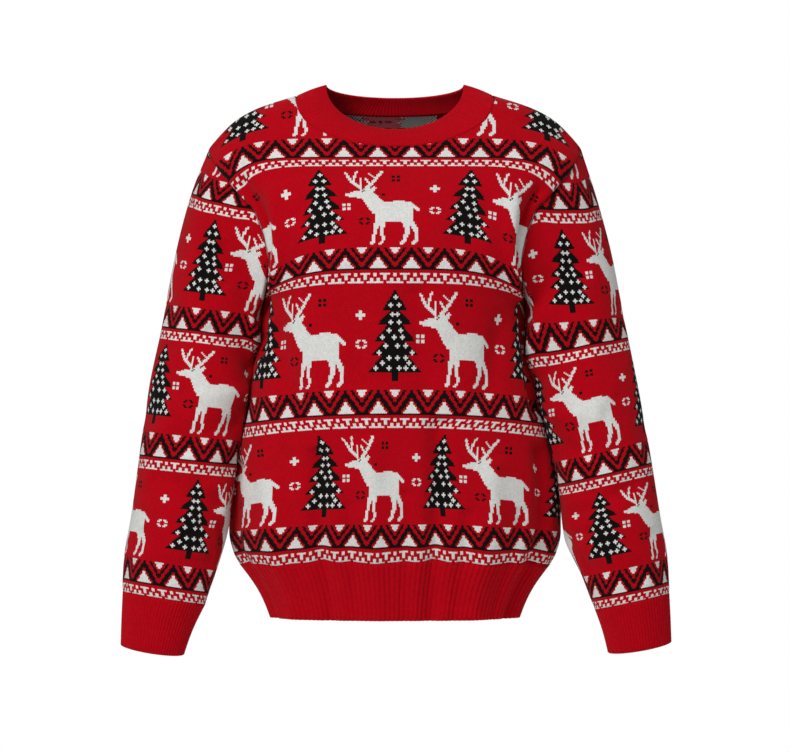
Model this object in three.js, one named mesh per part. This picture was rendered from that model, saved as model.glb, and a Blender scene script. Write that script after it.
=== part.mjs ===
import * as THREE from "three";

// A knitted pullover, hollow as it is worn, in millimetres. The origin is midway between the high
// shoulder points, where the shoulders hold it. +Z is up, the front faces -Y and +X is the wearer's
// left. Knit rows are counted upwards from the ribbing of the body, and from the cuff on a sleeve.

// Thickness of the cloth and the gap that a seam leaves
const CLOTH = 2.4;
const RIB_CLOTH = 2.0;
const RIB_RIDGE = 0.8;
const SEAM = 0.35;

// Knit rows at the ends of the seams of a panel
const ARMPIT_ROW = 145;
const TIP_ROW = 264;
const NECK_ROW = 280;

// Knit row at the bottom of the neck, and the share of a panel's half width that the neck takes
const FRONT_NECK_ROW = 243;
const BACK_NECK_ROW = 268;
const NECK_SHARE = 0.5;
const NECK_ROUND = 2;

// Steps of the grids: across a panel, below the armpit, beside an armhole and along a sleeve
const FRONT_GRID = { across: 32, lower: 14 };
const BACK_GRID = { across: 28, lower: 11 };
const CAP_STEPS = 12;
const SLEEVE_STEPS = 22;

// Ribs of each ribbed piece and the knit rows that the ribbing of the body is high
const HEM_RIBS = 64;
const CUFF_RIBS = 44;
const NECK_RIBS = 128;
const HEM_ROWS = 28;

const RED = 0xb30a1c;

// The half width of the right side of the body is less near the armpit, by this much
const PULL = { most: 15, row: 120, reach: 28 };

// Each row of knit in the front runs from the middle of the panel to its end, at the side seam,
// the armhole seam or the shoulder seam. round is the roundness of the row in plan, bend says how
// late it turns down, and gather how much wider its stitches are at the middle.
const FRONT = [
  ["row", "endX", "endY", "endZ", "midY", "midZ", "round", "bend", "gather"],
  [0, 181.5, 0, -559, -106, -555, 2.4, 2.5, -0.1],
  [7, 188.5, 0, -546, -113, -538, 2.4, 2.5, -0.12],
  [20, 192, 0, -521, -119, -511, 2.4, 2.5, -0.12],
  [45, 191, 0, -476, -122, -458, 2.4, 2.5, -0.12],
  [65, 184, 0, -436, -123, -421, 2.4, 2.5, -0.1],
  [83, 176, 0, -396, -124, -384, 2.4, 2.5, -0.05],
  [110, 165, 0, -334, -126, -322, 2.3, 2.6, 0.1],
  [130, 157, 0, -289, -128, -276, 2.3, 3, 0.14],
  [145, 154, 0, -255, -129, -243, 2.3, 3.4, 0.16],
  [161, 151, -32, -240, -128, -209, 2.3, 4, 0.22],
  [172, 148, -50, -225, -126, -187, 2.3, 4, 0.34],
  [183, 147, -62, -205, -122, -166, 2.3, 4, 0.42],
  [195, 151, -65, -181, -113, -144, 2.3, 4, 0.45],
  [207, 159, -63, -157, -101, -124, 2.4, 5, 0.45],
  [213, 165, -60, -145, -94, -115, 2.5, 6, 0.42],
  [223, 178, -55, -132, -80, -99, 2.8, 8, 0.38],
  [235, 194, -46, -113, -67, -83, 3, 9, 0.32],
  [243, 205, -37, -100, -60, -71, 2.8, 8, 0.28],
  [253, 213, -22, -86, -50, -53, 2.5, 6, 0.2],
  [264, 218, 0, -75, -37, -32, 2.2, 5, 0.1],
  [267.5, 201, 0, -54, -32, -23, 2.2, 4, 0.05],
  [270.3, 185, 0, -39.5, -27, -16, 2.2, 3, 0],
  [273.8, 160, 0, -26, -20, -8, 2.2, 2.5, 0],
  [280, 113, 0, -10.5, -6, 0, 2.2, 2, 0],
];

const BACK = [
  ["row", "endX", "endY", "endZ", "midY", "midZ", "round", "bend", "gather"],
  [0, 181.5, 0, -559, 96, -557, 2.4, 2.5, 0],
  [7, 188.5, 0, -546, 102, -542, 2.4, 2.5, 0],
  [20, 192, 0, -521, 106, -516, 2.4, 2.5, 0],
  [45, 191, 0, -476, 107, -468, 2.4, 2.5, 0],
  [65, 184, 0, -436, 107, -429, 2.4, 2.5, 0],
  [83, 176, 0, -396, 107, -391, 2.4, 2.5, 0],
  [110, 165, 0, -334, 107, -331, 2.3, 2.6, 0.05],
  [130, 157, 0, -289, 108, -286, 2.3, 3, 0.08],
  [145, 154, 0, -255, 109, -252, 2.3, 3.4, 0.1],
  [161, 153, 30, -238, 110, -222, 2.3, 4, 0.14],
  [172, 155, 47, -221, 110, -200, 2.3, 4, 0.18],
  [183, 158, 57, -201, 110, -178, 2.3, 4, 0.2],
  [195, 163, 61, -179, 108, -156, 2.3, 4, 0.2],
  [207, 171, 60, -157, 105, -134, 2.4, 4, 0.2],
  [223, 187, 52, -131, 98, -106, 2.6, 5, 0.18],
  [235, 198, 43, -114, 91, -86, 2.8, 6, 0.16],
  [243, 206, 36, -101, 85, -73, 2.7, 6, 0.14],
  [253, 213, 21, -87, 77, -56, 2.5, 5, 0.12],
  [264, 218, 0, -75, 68, -40, 2.3, 4, 0.1],
  [267.5, 201, 0, -54, 64, -34, 2.2, 4, 0.05],
  [270.3, 185, 0, -39.5, 58, -28, 2.2, 3, 0],
  [273.8, 160, 0, -26, 48, -20, 2.2, 2.5, 0],
  [280, 113, 0, -10.5, 32, -12, 2.2, 2, 0],
];

// Rings of a sleeve: where a row of knit passes the outer and the inner side of the arm, its depth
// before and behind the middle, and how far forward the middle is.
const SLEEVE_RIGHT = [
  ["row", "outX", "outZ", "inX", "inZ", "before", "behind", "midY"],
  [0, -317, -590, -221, -605, 42, 41, -42],
  [7, -317.6, -575.6, -217, -592, 45, 43, -42],
  [20, -315.5, -548.7, -208, -566, 48, 46, -41],
  [45, -307.5, -502, -193.5, -515, 50, 48, -39],
  [83, -298, -431.7, -184, -443, 51, 50, -35],
  [120, -286.5, -350, -170, -363, 52, 50, -28],
  [159, -272.5, -282, -161, -295, 55, 51, -15],
  [179, -265.5, -241, -156, -255, 57, 53, -6],
  [207, -253.5, -182, -148, -205, 60, 56, 0],
  [235, -237.5, -124, -141, -160, 62, 58, 0],
  [259, -218, -75, -132, -125, 62, 58, 0],
];

const SLEEVE_LEFT = [
  ["row", "outX", "outZ", "inX", "inZ", "before", "behind", "midY"],
  [0, 319.4, -592, 233, -611, 42, 41, -42],
  [7, 319.6, -580, 228, -599, 45, 43, -42],
  [20, 317.7, -552, 218, -573, 48, 46, -41],
  [45, 309.5, -504, 197, -526, 50, 48, -39],
  [83, 299.5, -441, 190, -466, 51, 50, -35],
  [120, 285.5, -361, 171.5, -384, 52, 50, -26],
  [159, 272, -291, 155.5, -306, 55, 51, -10],
  [179, 264, -250, 154.5, -255, 57, 53, -3],
  [207, 252.5, -192, 147, -212, 60, 56, 0],
  [235, 236.5, -134, 141, -166, 62, 58, 0],
  [259, 218, -75, 132, -125, 62, 58, 0],
];

// The edge of the sleeve cap, from the underarm to the shoulder tip: how far along the armhole it
// is, the turn round the arm there, and the row of the sleeve.
const CAP = [
  ["along", "turn", "row"],
  [0, 0, 179],
  [0.17, 0.05, 197],
  [0.33, 0.1, 213],
  [0.56, 0.18, 235],
  [0.76, 0.3, 250],
  [0.89, 0.4, 257],
  [1, 0.5, 259],
];

// Knit rows below the cap edge that the armhole draws along
const CAP_BLEND = 70;

// Where the ribbing ends: at the hem, at each cuff, and at the inner edge of the neckband
const HEM_END = { halfWidth: 146, front: -89, back: 84, sideZ: -621, midZ: -623 };
const CUFF_RIGHT_END = { outX: -319.4, outZ: -654, inX: -245.7, inZ: -666, deep: 33, midY: -44 };
const CUFF_LEFT_END = { outX: 321.8, outZ: -650.5, inX: 248, inZ: -663.4, deep: 33, midY: -44 };
const CUFF_SAG = 4;
const NECK_END = { halfWidth: 81, front: -41, back: 52, top: 1.5, frontDrop: 53, backDrop: 14 };
const NECK_BULGE = 1;

// The point beside each armhole that the edges of its walls face away from
const ARMHOLE = { x: 154, z: -165 };

// Folds of a panel, each a trough or ridge between two points. The share of the half width is
// negative on the wearer's right. Width and depth are in millimetres, and a trough is below zero.
const FRONT_FOLDS = [
  ["share", "row", "toShare", "toRow", "width", "depth"],
  [-0.9, 228, -0.84, 190, 14, -7],
  [-0.7, 214, -0.76, 160, 18, 6],
  [0.88, 222, 0.82, 172, 15, -8],
  [0.68, 210, 0.72, 150, 18, 7],
  [0.22, 70, 0.21, -40, 16, -6],
  [-0.38, 50, -0.4, -40, 16, -5],
  [0.76, 60, 0.74, -40, 16, -5],
  [-0.62, 130, -0.5, 92, 20, -4],
  [0.55, 132, 0.45, 96, 20, -4],
  [-0.12, 60, -0.1, -30, 20, 3],
  [0.48, 50, 0.48, -40, 18, 4],
  [-0.7, 40, -0.7, -40, 18, 4],
];

const BACK_FOLDS = [
  ["share", "row", "toShare", "toRow", "width", "depth"],
  [-0.8, 225, -0.74, 165, 18, -7],
  [0.78, 222, 0.72, 160, 18, -7],
  [-0.3, 66, -0.33, -40, 18, -5],
  [0.15, 60, 0.18, -40, 18, -5],
  [0.6, 58, 0.58, -40, 18, -5],
  [-0.7, 50, -0.7, -40, 18, 4],
  [-0.4, 140, 0.3, 120, 22, -4],
];

// Folds of a sleeve, given by the turn round the arm in place of the share
const SLEEVE_FOLDS = [
  ["share", "row", "toShare", "toRow", "width", "depth"],
  [0.07, 176, 0.27, 204, 19, -5],
  [0.05, 140, 0.24, 160, 18, -4],
  [0.08, 104, 0.3, 92, 18, -4],
  [0.12, 58, 0.34, 72, 19, -3],
  [0.93, 172, 0.74, 198, 20, -5],
  [0.92, 112, 0.7, 100, 19, -4],
  [0.9, 48, 0.66, 62, 19, -3],
];

// Sizes of one step of share, turn and row on the cloth, for the folds
const SHARE_MM = 256;
const TURN_MM = 350;
const ROW_MM = 2.2;

// Steps that a quarter of a ring is measured in
const STEPS = 48;

const add = (a, b, k = 1) => [a[0] + k * b[0], a[1] + k * b[1], a[2] + k * b[2]];
const minus = (a, b) => add(a, b, -1);
const dot = (a, b) => a[0] * b[0] + a[1] * b[1] + a[2] * b[2];
const unit = (a) => {
  const size = Math.hypot(...a) || 1;
  return [a[0] / size, a[1] / size, a[2] / size];
};
const cross = (a, b) => [
  a[1] * b[2] - a[2] * b[1],
  a[2] * b[0] - a[0] * b[2],
  a[0] * b[1] - a[1] * b[0],
];
const mix = (a, b, k) => [
  a[0] + (b[0] - a[0]) * k,
  a[1] + (b[1] - a[1]) * k,
  a[2] + (b[2] - a[2]) * k,
];
const smooth = (x) => {
  const k = Math.min(1, Math.max(0, x));
  return k * k * (3 - 2 * k);
};

// Slopes that let a curve pass through its points without swinging past them.
function slopesOf(places, values) {
  const steps = places.slice(1).map((p, i) => p - places[i]);
  const rises = steps.map((step, i) => (values[i + 1] - values[i]) / step);
  return places.map((_, i) => {
    if (i === 0) return rises[0];
    if (i === rises.length) return rises[i - 1];
    const [before, after] = [rises[i - 1], rises[i]];
    if (before * after <= 0) return 0;
    const [a, b] = [2 * steps[i] + steps[i - 1], steps[i] + 2 * steps[i - 1]];
    return (a + b) / (a / before + b / after);
  });
}

// Reads every named column of a table at any place of its first column.
function reader([names, ...rows]) {
  const places = rows.map((row) => row[0]);
  const slopes = names.map((_, c) => slopesOf(places, rows.map((row) => row[c])));
  return (place) => {
    const at = Math.min(places[places.length - 1], Math.max(places[0], place));
    let i = 0;
    while (i < places.length - 2 && places[i + 1] < at) i += 1;
    const step = places[i + 1] - places[i];
    const x = (at - places[i]) / step;
    const out = {};
    names.forEach((name, c) => {
      const [a, b] = [rows[i][c], rows[i + 1][c]];
      const [u, v] = [slopes[c][i] * step, slopes[c][i + 1] * step];
      const cubic = 2 * (a - b) + u + v;
      out[name] = a + x * (u + x * (3 * (b - a) - 2 * u - v + x * cubic));
    });
    return out;
  };
}

// A place on a quarter ring by its share of the length: how far across and how far deep it is.
function quarter(width, depth, round, share) {
  const points = [];
  for (let i = 0; i <= STEPS; i += 1) {
    const angle = (i / STEPS) * (Math.PI / 2);
    const across = Math.sin(angle) ** (2 / round);
    const deep = i === STEPS ? 0 : Math.cos(angle) ** (2 / round);
    points.push([across, deep]);
  }
  const lengths = [0];
  for (let i = 1; i <= STEPS; i += 1) {
    const [a, b] = [points[i - 1], points[i]];
    lengths.push(lengths[i - 1] + Math.hypot((b[0] - a[0]) * width, (b[1] - a[1]) * depth));
  }
  const goal = share * lengths[STEPS];
  let i = 1;
  while (i < STEPS && lengths[i] < goal) i += 1;
  const part = (goal - lengths[i - 1]) / (lengths[i] - lengths[i - 1]);
  const [a, b] = [points[i - 1], points[i]];
  return [a[0] + (b[0] - a[0]) * part, a[1] + (b[1] - a[1]) * part];
}

const readFront = reader(FRONT);
const readBack = reader(BACK);

const pull = (side, row) =>
  side > 0 ? PULL.most * Math.exp(-(((row - PULL.row) / PULL.reach) ** 2)) : 0;

// The end of a row on one side of a panel.
function endPoint(read, side, row) {
  const at = read(row);
  return [side * (at.endX - pull(side, row)), at.endY, at.endZ];
}

// The row where a panel ends above a share of its half width.
function topRow(neckRow, share) {
  const part = Math.abs(share) / NECK_SHARE;
  if (part >= 1) return TIP_ROW + ((NECK_ROW - TIP_ROW) * (1 - Math.abs(share))) / (1 - NECK_SHARE);
  const dip = (1 - part ** NECK_ROUND) ** (1 / NECK_ROUND);
  return NECK_ROW - (NECK_ROW - neckRow) * dip;
}

// A point of a panel by its share of the half width, -1 to 1, and its row.
function panelPoint(read, share, row) {
  const at = read(row);
  const side = share < 0 ? -1 : 1;
  const above = Math.max(0, row - TIP_ROW) / (NECK_ROW - TIP_ROW);
  const part = Math.min(1, Math.abs(share) / (1 - (1 - NECK_SHARE) * above));
  const along = part + (at.gather * Math.sin(Math.PI * part)) / Math.PI;
  const half = at.endX - pull(side, row);
  const [across, deep] = quarter(half, Math.abs(at.midY - at.endY), at.round, along);
  return [
    side * half * across,
    at.endY + (at.midY - at.endY) * deep,
    at.midZ + (at.endZ - at.midZ) * across ** at.bend,
  ];
}

// How far the folds of a table push the cloth out at a place.
function foldDepth([, ...folds], place, row, placeMm) {
  let sum = 0;
  for (const [share, fromRow, toShare, toRow, width, depth] of folds) {
    const [ax, ay] = [share * placeMm, fromRow * ROW_MM];
    const [bx, by] = [toShare * placeMm - ax, toRow * ROW_MM - ay];
    const [px, py] = [place * placeMm - ax, row * ROW_MM - ay];
    const length = Math.hypot(bx, by);
    const along = (px * bx + py * by) / length;
    const off = (px * by - py * bx) / length;
    const fade = smooth(along / width + 1) * smooth((length - along) / width + 1);
    sum += depth * fade * Math.exp(-((off / width) ** 2));
  }
  return sum;
}

// Normals of a grid of points, out of the cloth. A closed grid joins its last column to its first.
function normalsOf(grid, closed) {
  const columns = grid[0].length;
  const last = grid.length - 1;
  return grid.map((line, i) =>
    line.map((_, j) => {
      const right = closed ? (j + 1) % columns : Math.min(columns - 1, j + 1);
      const left = closed ? (j + columns - 1) % columns : Math.max(0, j - 1);
      const along = minus(line[right], line[left]);
      const up = minus(grid[Math.min(last, i + 1)][j], grid[Math.max(0, i - 1)][j]);
      return unit(cross(along, up));
    }),
  );
}

// Moves the points of one edge into the cloth by half a seam, square to the edge and its normals.
function setBack(edge, inner, normals, closed) {
  const count = edge.length;
  return edge.map((point, j) => {
    const next = closed ? (j + 1) % count : Math.min(count - 1, j + 1);
    const before = closed ? (j + count - 1) % count : Math.max(0, j - 1);
    const away = unit(cross(minus(edge[next], edge[before]), normals[j]));
    const turn = dot(away, minus(inner[j], point)) < 0 ? -1 : 1;
    return add(point, away, (turn * SEAM) / 2);
  });
}

const columnOf = (grid, j) => grid.map((line) => line[j]);

function setColumn(grid, j, column) {
  grid.forEach((line, i) => {
    line[j] = column[i];
  });
}

// A closed wall between an outer and an inner grid. The outer grid may have more columns.
function wall(name, colour, outer, inner, closed) {
  const rows = outer.length;
  const wide = outer[0].length;
  const narrow = inner[0].length;
  const points = [...outer.flat(), ...inner.flat()];
  const out = (i, j) => i * wide + (closed ? j % wide : j);
  const inn = (i, j) => rows * wide + i * narrow + (closed ? j % narrow : j);
  const outSpans = closed ? wide : wide - 1;
  const inSpans = closed ? narrow : narrow - 1;
  const ratio = outSpans / inSpans;
  const faces = [];
  const quad = (a, b, c, d) => faces.push([a, b, c], [a, c, d]);
  const leaning = (a, b, c, d, left) => (left ? quad(a, b, c, d) : quad(b, c, d, a));
  for (let i = 0; i < rows - 1; i += 1) {
    for (let j = 0; j < outSpans; j += 1) {
      leaning(out(i, j), out(i, j + 1), out(i + 1, j + 1), out(i + 1, j), j < outSpans / 2);
    }
    for (let j = 0; j < inSpans; j += 1) {
      leaning(inn(i, j + 1), inn(i, j), inn(i + 1, j), inn(i + 1, j + 1), j >= inSpans / 2);
    }
  }
  for (let j = 0; j < inSpans; j += 1) {
    for (const [i, turn] of [[0, false], [rows - 1, true]]) {
      const half = Math.ceil(ratio / 2);
      const fan = [];
      for (let k = 0; k < ratio; k += 1) {
        const tip = k < half ? inn(i, j) : inn(i, j + 1);
        fan.push([out(i, ratio * j + k + 1), out(i, ratio * j + k), tip]);
      }
      fan.push([inn(i, j), inn(i, j + 1), out(i, ratio * j + half)]);
      fan.forEach(([a, b, c]) => faces.push(turn ? [a, c, b] : [a, b, c]));
    }
  }
  if (!closed) {
    for (let i = 0; i < rows - 1; i += 1) {
      quad(out(i, 0), out(i + 1, 0), inn(i + 1, 0), inn(i, 0));
      quad(inn(i, narrow - 1), inn(i + 1, narrow - 1), out(i + 1, wide - 1), out(i, wide - 1));
    }
  }
  const geometry = new THREE.BufferGeometry();
  geometry.setAttribute("position", new THREE.Float32BufferAttribute(points.flat(), 3));
  geometry.setIndex(faces.flat());
  geometry.computeVertexNormals();
  const material = new THREE.MeshStandardMaterial({ color: colour, roughness: 0.85, metalness: 0 });
  const mesh = new THREE.Mesh(geometry, material);
  mesh.name = name;
  return mesh;
}

const inward = (grid, normals, thickness) =>
  grid.map((line, i) => line.map((point, j) => add(point, normals[i][j], -thickness)));

// The direction of the wall's edge at an armhole seam, which the panel and the sleeve share.
function armholeNormal(side, point) {
  return unit(minus(point, [side * ARMHOLE.x, 0, ARMHOLE.z]));
}

const spread = (count, f) => Array.from({ length: count + 1 }, (_, i) => f(i / count));

// The outer skin of a panel and the normals of its wall. facing is -1 for the front, 1 for the back.
function panelSkin(read, facing, neckRow, folds, size) {
  const shares = spread(size.across, (k) => facing * (1 - 2 * k));
  const columns = shares.map((share) => {
    const top = topRow(neckRow, share);
    const below = spread(size.lower, (k) => ARMPIT_ROW * k);
    const above = spread(CAP_STEPS, (k) => ARMPIT_ROW + (top - ARMPIT_ROW) * k);
    return [...below, ...above.slice(1)];
  });
  const smoothGrid = columns[0].map((_, i) =>
    shares.map((share, j) => panelPoint(read, share, columns[j][i])),
  );
  const smoothNormals = normalsOf(smoothGrid, false);
  const points = smoothGrid.map((line, i) =>
    line.map((point, j) => {
      const edge = 1 - Math.abs(shares[j]) ** 16;
      const depth = edge * foldDepth(folds, shares[j], columns[j][i], SHARE_MM);
      return add(point, smoothNormals[i][j], depth);
    }),
  );
  const normals = normalsOf(points, false);
  const last = shares.length - 1;
  const top = points.length - 1;
  points.forEach((line, i) => {
    for (const j of [0, last]) {
      const [x, , z] = normals[i][j];
      const side = Math.sign(shares[j]);
      normals[i][j] = i < size.lower ? unit([x, 0, z]) : armholeNormal(side, line[j]);
    }
  });
  normals[0] = normals[0].map(([x, y]) => unit([x, y, 0]));
  normals[top] = normals[top].map((normal, j) =>
    Math.abs(shares[j]) < NECK_SHARE ? normal : unit([normal[0], 0, normal[2]]),
  );
  return { points, normals, shares };
}

// The skin moved in at its edges, so that a seam leaves its gap.
function trimmed(points, normals, closed) {
  const grid = points.map((line) => [...line]);
  const last = grid[0].length - 1;
  const top = grid.length - 1;
  if (!closed) {
    for (const [j, beside] of [[0, 1], [last, last - 1]]) {
      const column = columnOf(points, j);
      setColumn(grid, j, setBack(column, columnOf(points, beside), columnOf(normals, j), false));
    }
  }
  grid[0] = setBack(grid[0], grid[1], normals[0], closed);
  grid[top] = setBack(grid[top], grid[top - 1], normals[top], closed);
  return grid;
}

// Points and normals at even steps along an edge.
function evenly(points, normals, count, closed) {
  const path = closed ? [...points, points[0]] : points;
  const out = closed ? [...normals, normals[0]] : normals;
  const lengths = [0];
  for (let i = 1; i < path.length; i += 1) {
    lengths.push(lengths[i - 1] + Math.hypot(...minus(path[i], path[i - 1])));
  }
  const total = lengths[lengths.length - 1];
  const places = spread(count, (k) => k * total).slice(0, closed ? count : count + 1);
  return places.map((goal) => {
    let i = 1;
    while (i < path.length - 1 && lengths[i] < goal) i += 1;
    const part = Math.min(1, (goal - lengths[i - 1]) / (lengths[i] - lengths[i - 1]));
    const point = mix(path[i - 1], path[i], part);
    const normal = unit(mix(out[i - 1], out[i], part));
    return { point, normal, share: goal / total };
  });
}

// A ribbed wall from a seam to a free edge. place gives its skin at a level from 0 to 1, and down
// says that it hangs below the seam.
function ribbedWall(name, ribs, levels, edge, place, { closed, down }) {
  const seam = evenly(edge.points, edge.normals, 2 * ribs, closed);
  const grid = spread(levels, (level) => seam.map((at) => place(at, level)));
  if (down) grid.reverse();
  const normals = normalsOf(grid, closed);
  normals[down ? levels : 0] = seam.map((at) => at.normal);
  if (!closed) {
    normals.forEach((line) => {
      for (const j of [0, line.length - 1]) {
        line[j] = unit([line[j][0], 0, line[j][2]]);
      }
    });
  }
  const skin = trimmed(grid, normals, closed);
  const half = RIB_RIDGE / 2;
  const outer = skin.map((line, i) =>
    line.map((point, j) => add(point, normals[i][j], j % 2 ? half : -half)),
  );
  const every = (line) => line.filter((_, j) => j % 4 === 0);
  const inner = inward(skin.map(every), normals.map(every), half + RIB_CLOTH);
  return wall(name, RED, outer, inner, closed);
}

// A ring of a sleeve by the turn round the arm: 0 is the underarm, a quarter is the front.
function ringPoint(at, turn) {
  const angle = 2 * Math.PI * turn;
  const [across, deep] = [Math.cos(angle), Math.sin(angle)];
  const x = (at.outX + at.inX) / 2 + ((at.inX - at.outX) / 2) * across;
  const z = (at.outZ + at.inZ) / 2 + ((at.inZ - at.outZ) / 2) * across;
  return [x, at.midY - deep * (deep > 0 ? at.before : at.behind), z];
}

// The seam of an armhole in even rows of the panel, from the underarm up to the shoulder tip.
function armholeEdge(read, side) {
  const points = spread(CAP_STEPS, (k) => endPoint(read, side, ARMPIT_ROW + (TIP_ROW - ARMPIT_ROW) * k));
  const lengths = [0];
  for (let i = 1; i <= CAP_STEPS; i += 1) {
    lengths.push(lengths[i - 1] + Math.hypot(...minus(points[i], points[i - 1])));
  }
  return points.map((point, i) => ({ point, along: lengths[i] / lengths[CAP_STEPS] }));
}

// The outer skin of a sleeve. side is -1 for the wearer's right and 1 for the left.
function sleeveSkin(read, side) {
  const readCap = reader(CAP);
  const before = armholeEdge(readFront, side).map((at) => ({ ...at, ...readCap(at.along) }));
  const behind = armholeEdge(readBack, side).map((at) => ({ ...at, ...readCap(at.along) }));
  const back = behind.slice(1, CAP_STEPS).reverse();
  const round = [...before, ...back.map((at) => ({ ...at, turn: 1 - at.turn }))];
  const around = side > 0 ? round : [round[0], ...round.slice(1).reverse()];
  const rows = around.map((at) => spread(SLEEVE_STEPS, (k) => at.row * k));
  const smoothGrid = rows[0].map((_, i) =>
    around.map((at, j) => {
      const miss = minus(at.point, ringPoint(read(at.row), at.turn));
      const pulled = smooth(1 - (at.row - rows[j][i]) / CAP_BLEND);
      return add(ringPoint(read(rows[j][i]), at.turn), miss, pulled);
    }),
  );
  const smoothNormals = normalsOf(smoothGrid, true);
  const points = smoothGrid.map((line, i) =>
    line.map((point, j) => {
      const depth = foldDepth(SLEEVE_FOLDS, around[j].turn, rows[j][i], TURN_MM);
      return add(point, smoothNormals[i][j], i === SLEEVE_STEPS ? 0 : depth);
    }),
  );
  const normals = normalsOf(points, true);
  normals[SLEEVE_STEPS] = points[SLEEVE_STEPS].map((point) => armholeNormal(side, point));
  return { points, normals };
}

const clothWall = (name, skin, closed) => {
  const outer = trimmed(skin.points, skin.normals, closed);
  return wall(name, RED, outer, inward(outer, skin.normals, CLOTH), closed);
};

const front = panelSkin(readFront, -1, FRONT_NECK_ROW, FRONT_FOLDS, FRONT_GRID);
const back = panelSkin(readBack, 1, BACK_NECK_ROW, BACK_FOLDS, BACK_GRID);

// The ribbing of the body narrows to its lower edge, a little faster near the panel.
function hemPlace(facing, folds) {
  const deepest = facing < 0 ? HEM_END.front : HEM_END.back;
  return (at, level) => {
    const share = facing * (1 - 2 * at.share);
    const side = Math.sign(share) || 1;
    const [across, deep] = quarter(HEM_END.halfWidth, Math.abs(deepest), 2.4, Math.abs(share));
    const goal = [side * HEM_END.halfWidth * across, deepest * deep, 0];
    const narrowed = level + 0.12 * Math.sin(Math.PI * level);
    const [x, y] = mix(at.point, goal, narrowed);
    const low = HEM_END.midZ + (HEM_END.sideZ - HEM_END.midZ) * across ** 3;
    const z = at.point[2] + (low - at.point[2]) * level;
    const edge = 1 - Math.abs(share) ** 16;
    const depth = edge * level * foldDepth(folds, share, -HEM_ROWS * level, SHARE_MM);
    return add([x, y, z], at.normal, depth);
  };
}

// The ribbing of a sleeve narrows from its seam, a ring of the sleeve, to the end ring.
function cuffPlace(start, end) {
  const low = { ...end, before: end.deep, behind: end.deep };
  const [halfX, halfZ] = [(start.inX - start.outX) / 2, (start.inZ - start.outZ) / 2];
  return (at, level) => {
    const x = at.point[0] - (start.inX + start.outX) / 2;
    const z = at.point[2] - (start.inZ + start.outZ) / 2;
    const across = (x * halfX + z * halfZ) / (halfX ** 2 + halfZ ** 2);
    const forward = start.midY - at.point[1];
    const deep = forward / (forward > 0 ? start.before : start.behind);
    const turn = Math.atan2(deep, across) / (2 * Math.PI);
    const goal = add(ringPoint(low, turn), [0, 0, -CUFF_SAG * Math.sin(2 * Math.PI * turn)]);
    const narrowed = level + 0.08 * Math.sin(Math.PI * level);
    const [px, py] = mix(at.point, goal, narrowed);
    return [px, py, at.point[2] + (goal[2] - at.point[2]) * level];
  };
}

// The neck seam of a panel, in the order of its columns.
function neckEdge({ points, normals, shares }) {
  const top = points.length - 1;
  const columns = [...shares.keys()].filter((j) => Math.abs(shares[j]) <= NECK_SHARE);
  return {
    columns,
    points: columns.map((j) => points[top][j]),
    normals: columns.map((j) => normals[top][j]),
  };
}

const lengthOf = (path) =>
  path.slice(1).reduce((sum, point, i) => sum + Math.hypot(...minus(point, path[i])), 0);

const neckFront = neckEdge(front);
const neckBack = neckEdge(back);
const neckSeam = {
  points: [...neckFront.points, ...neckBack.points.slice(1, -1)],
  normals: [...neckFront.normals, ...neckBack.normals.slice(1, -1)],
};
const frontLength = lengthOf(neckFront.points);
const backLength = lengthOf(neckBack.points);
const frontPart = frontLength / (frontLength + backLength);

// The neckband leans in from the neck seam to its free edge, and bulges a little between them.
function neckPlace(at, level) {
  const before = at.share <= frontPart;
  const part = before ? at.share / frontPart : (at.share - frontPart) / (1 - frontPart);
  const share = before ? 2 * part - 1 : 1 - 2 * part;
  const far = before ? NECK_END.front : NECK_END.back;
  const drop = before ? NECK_END.frontDrop : NECK_END.backDrop;
  const [across, deep] = quarter(NECK_END.halfWidth, Math.hypot(far, drop), 2, Math.abs(share));
  const goal = [Math.sign(share) * NECK_END.halfWidth * across, far * deep, NECK_END.top - drop * deep];
  return add(mix(at.point, goal, level), at.normal, NECK_BULGE * Math.sin(Math.PI * level));
}

// Turns the edges of both panels and of the band to face halfway between panel and band.
neckSeam.points.forEach((point, j) => {
  const { points, normals } = neckSeam;
  const count = points.length;
  const share = lengthOf(points.slice(0, j + 1)) / (frontLength + backLength);
  const goal = neckPlace({ point, normal: normals[j], share }, 1);
  const along = minus(points[(j + 1) % count], points[(j + count - 1) % count]);
  const facing = unit(cross(along, minus(goal, point)));
  normals[j] = unit(add(normals[j], facing));
});
const neckPanels = [
  [front, neckFront, 0],
  [back, neckBack, neckFront.points.length - 1],
];
neckPanels.forEach(([skin, edge, start]) => {
  const top = skin.points.length - 1;
  edge.columns.forEach((j, k) => {
    skin.normals[top][j] = neckSeam.normals[(start + k) % neckSeam.normals.length];
  });
});

const readLeft = reader(SLEEVE_LEFT);
const readRight = reader(SLEEVE_RIGHT);
const left = sleeveSkin(readLeft, 1);
const right = sleeveSkin(readRight, -1);

const bottom = (skin) => ({ points: skin.points[0], normals: skin.normals[0] });
const openRib = { closed: false, down: true };
const tubeRib = { closed: true, down: true };

const group = new THREE.Group();
group.name = "christmas_sweater";
group.add(
  clothWall("front", front, false),
  clothWall("back", back, false),
  clothWall("sleeve_left", left, true),
  clothWall("sleeve_right", right, true),
  ribbedWall("hem_front", HEM_RIBS, 3, bottom(front), hemPlace(-1, FRONT_FOLDS), openRib),
  ribbedWall("hem_back", HEM_RIBS, 3, bottom(back), hemPlace(1, BACK_FOLDS), openRib),
  ribbedWall("cuff_left", CUFF_RIBS, 2, bottom(left), cuffPlace(readLeft(0), CUFF_LEFT_END), tubeRib),
  ribbedWall("cuff_right", CUFF_RIBS, 2, bottom(right), cuffPlace(readRight(0), CUFF_RIGHT_END), tubeRib),
  ribbedWall("neckband", NECK_RIBS, 2, neckSeam, neckPlace, { closed: true, down: false }),
);

export default group;
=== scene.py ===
import math

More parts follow.
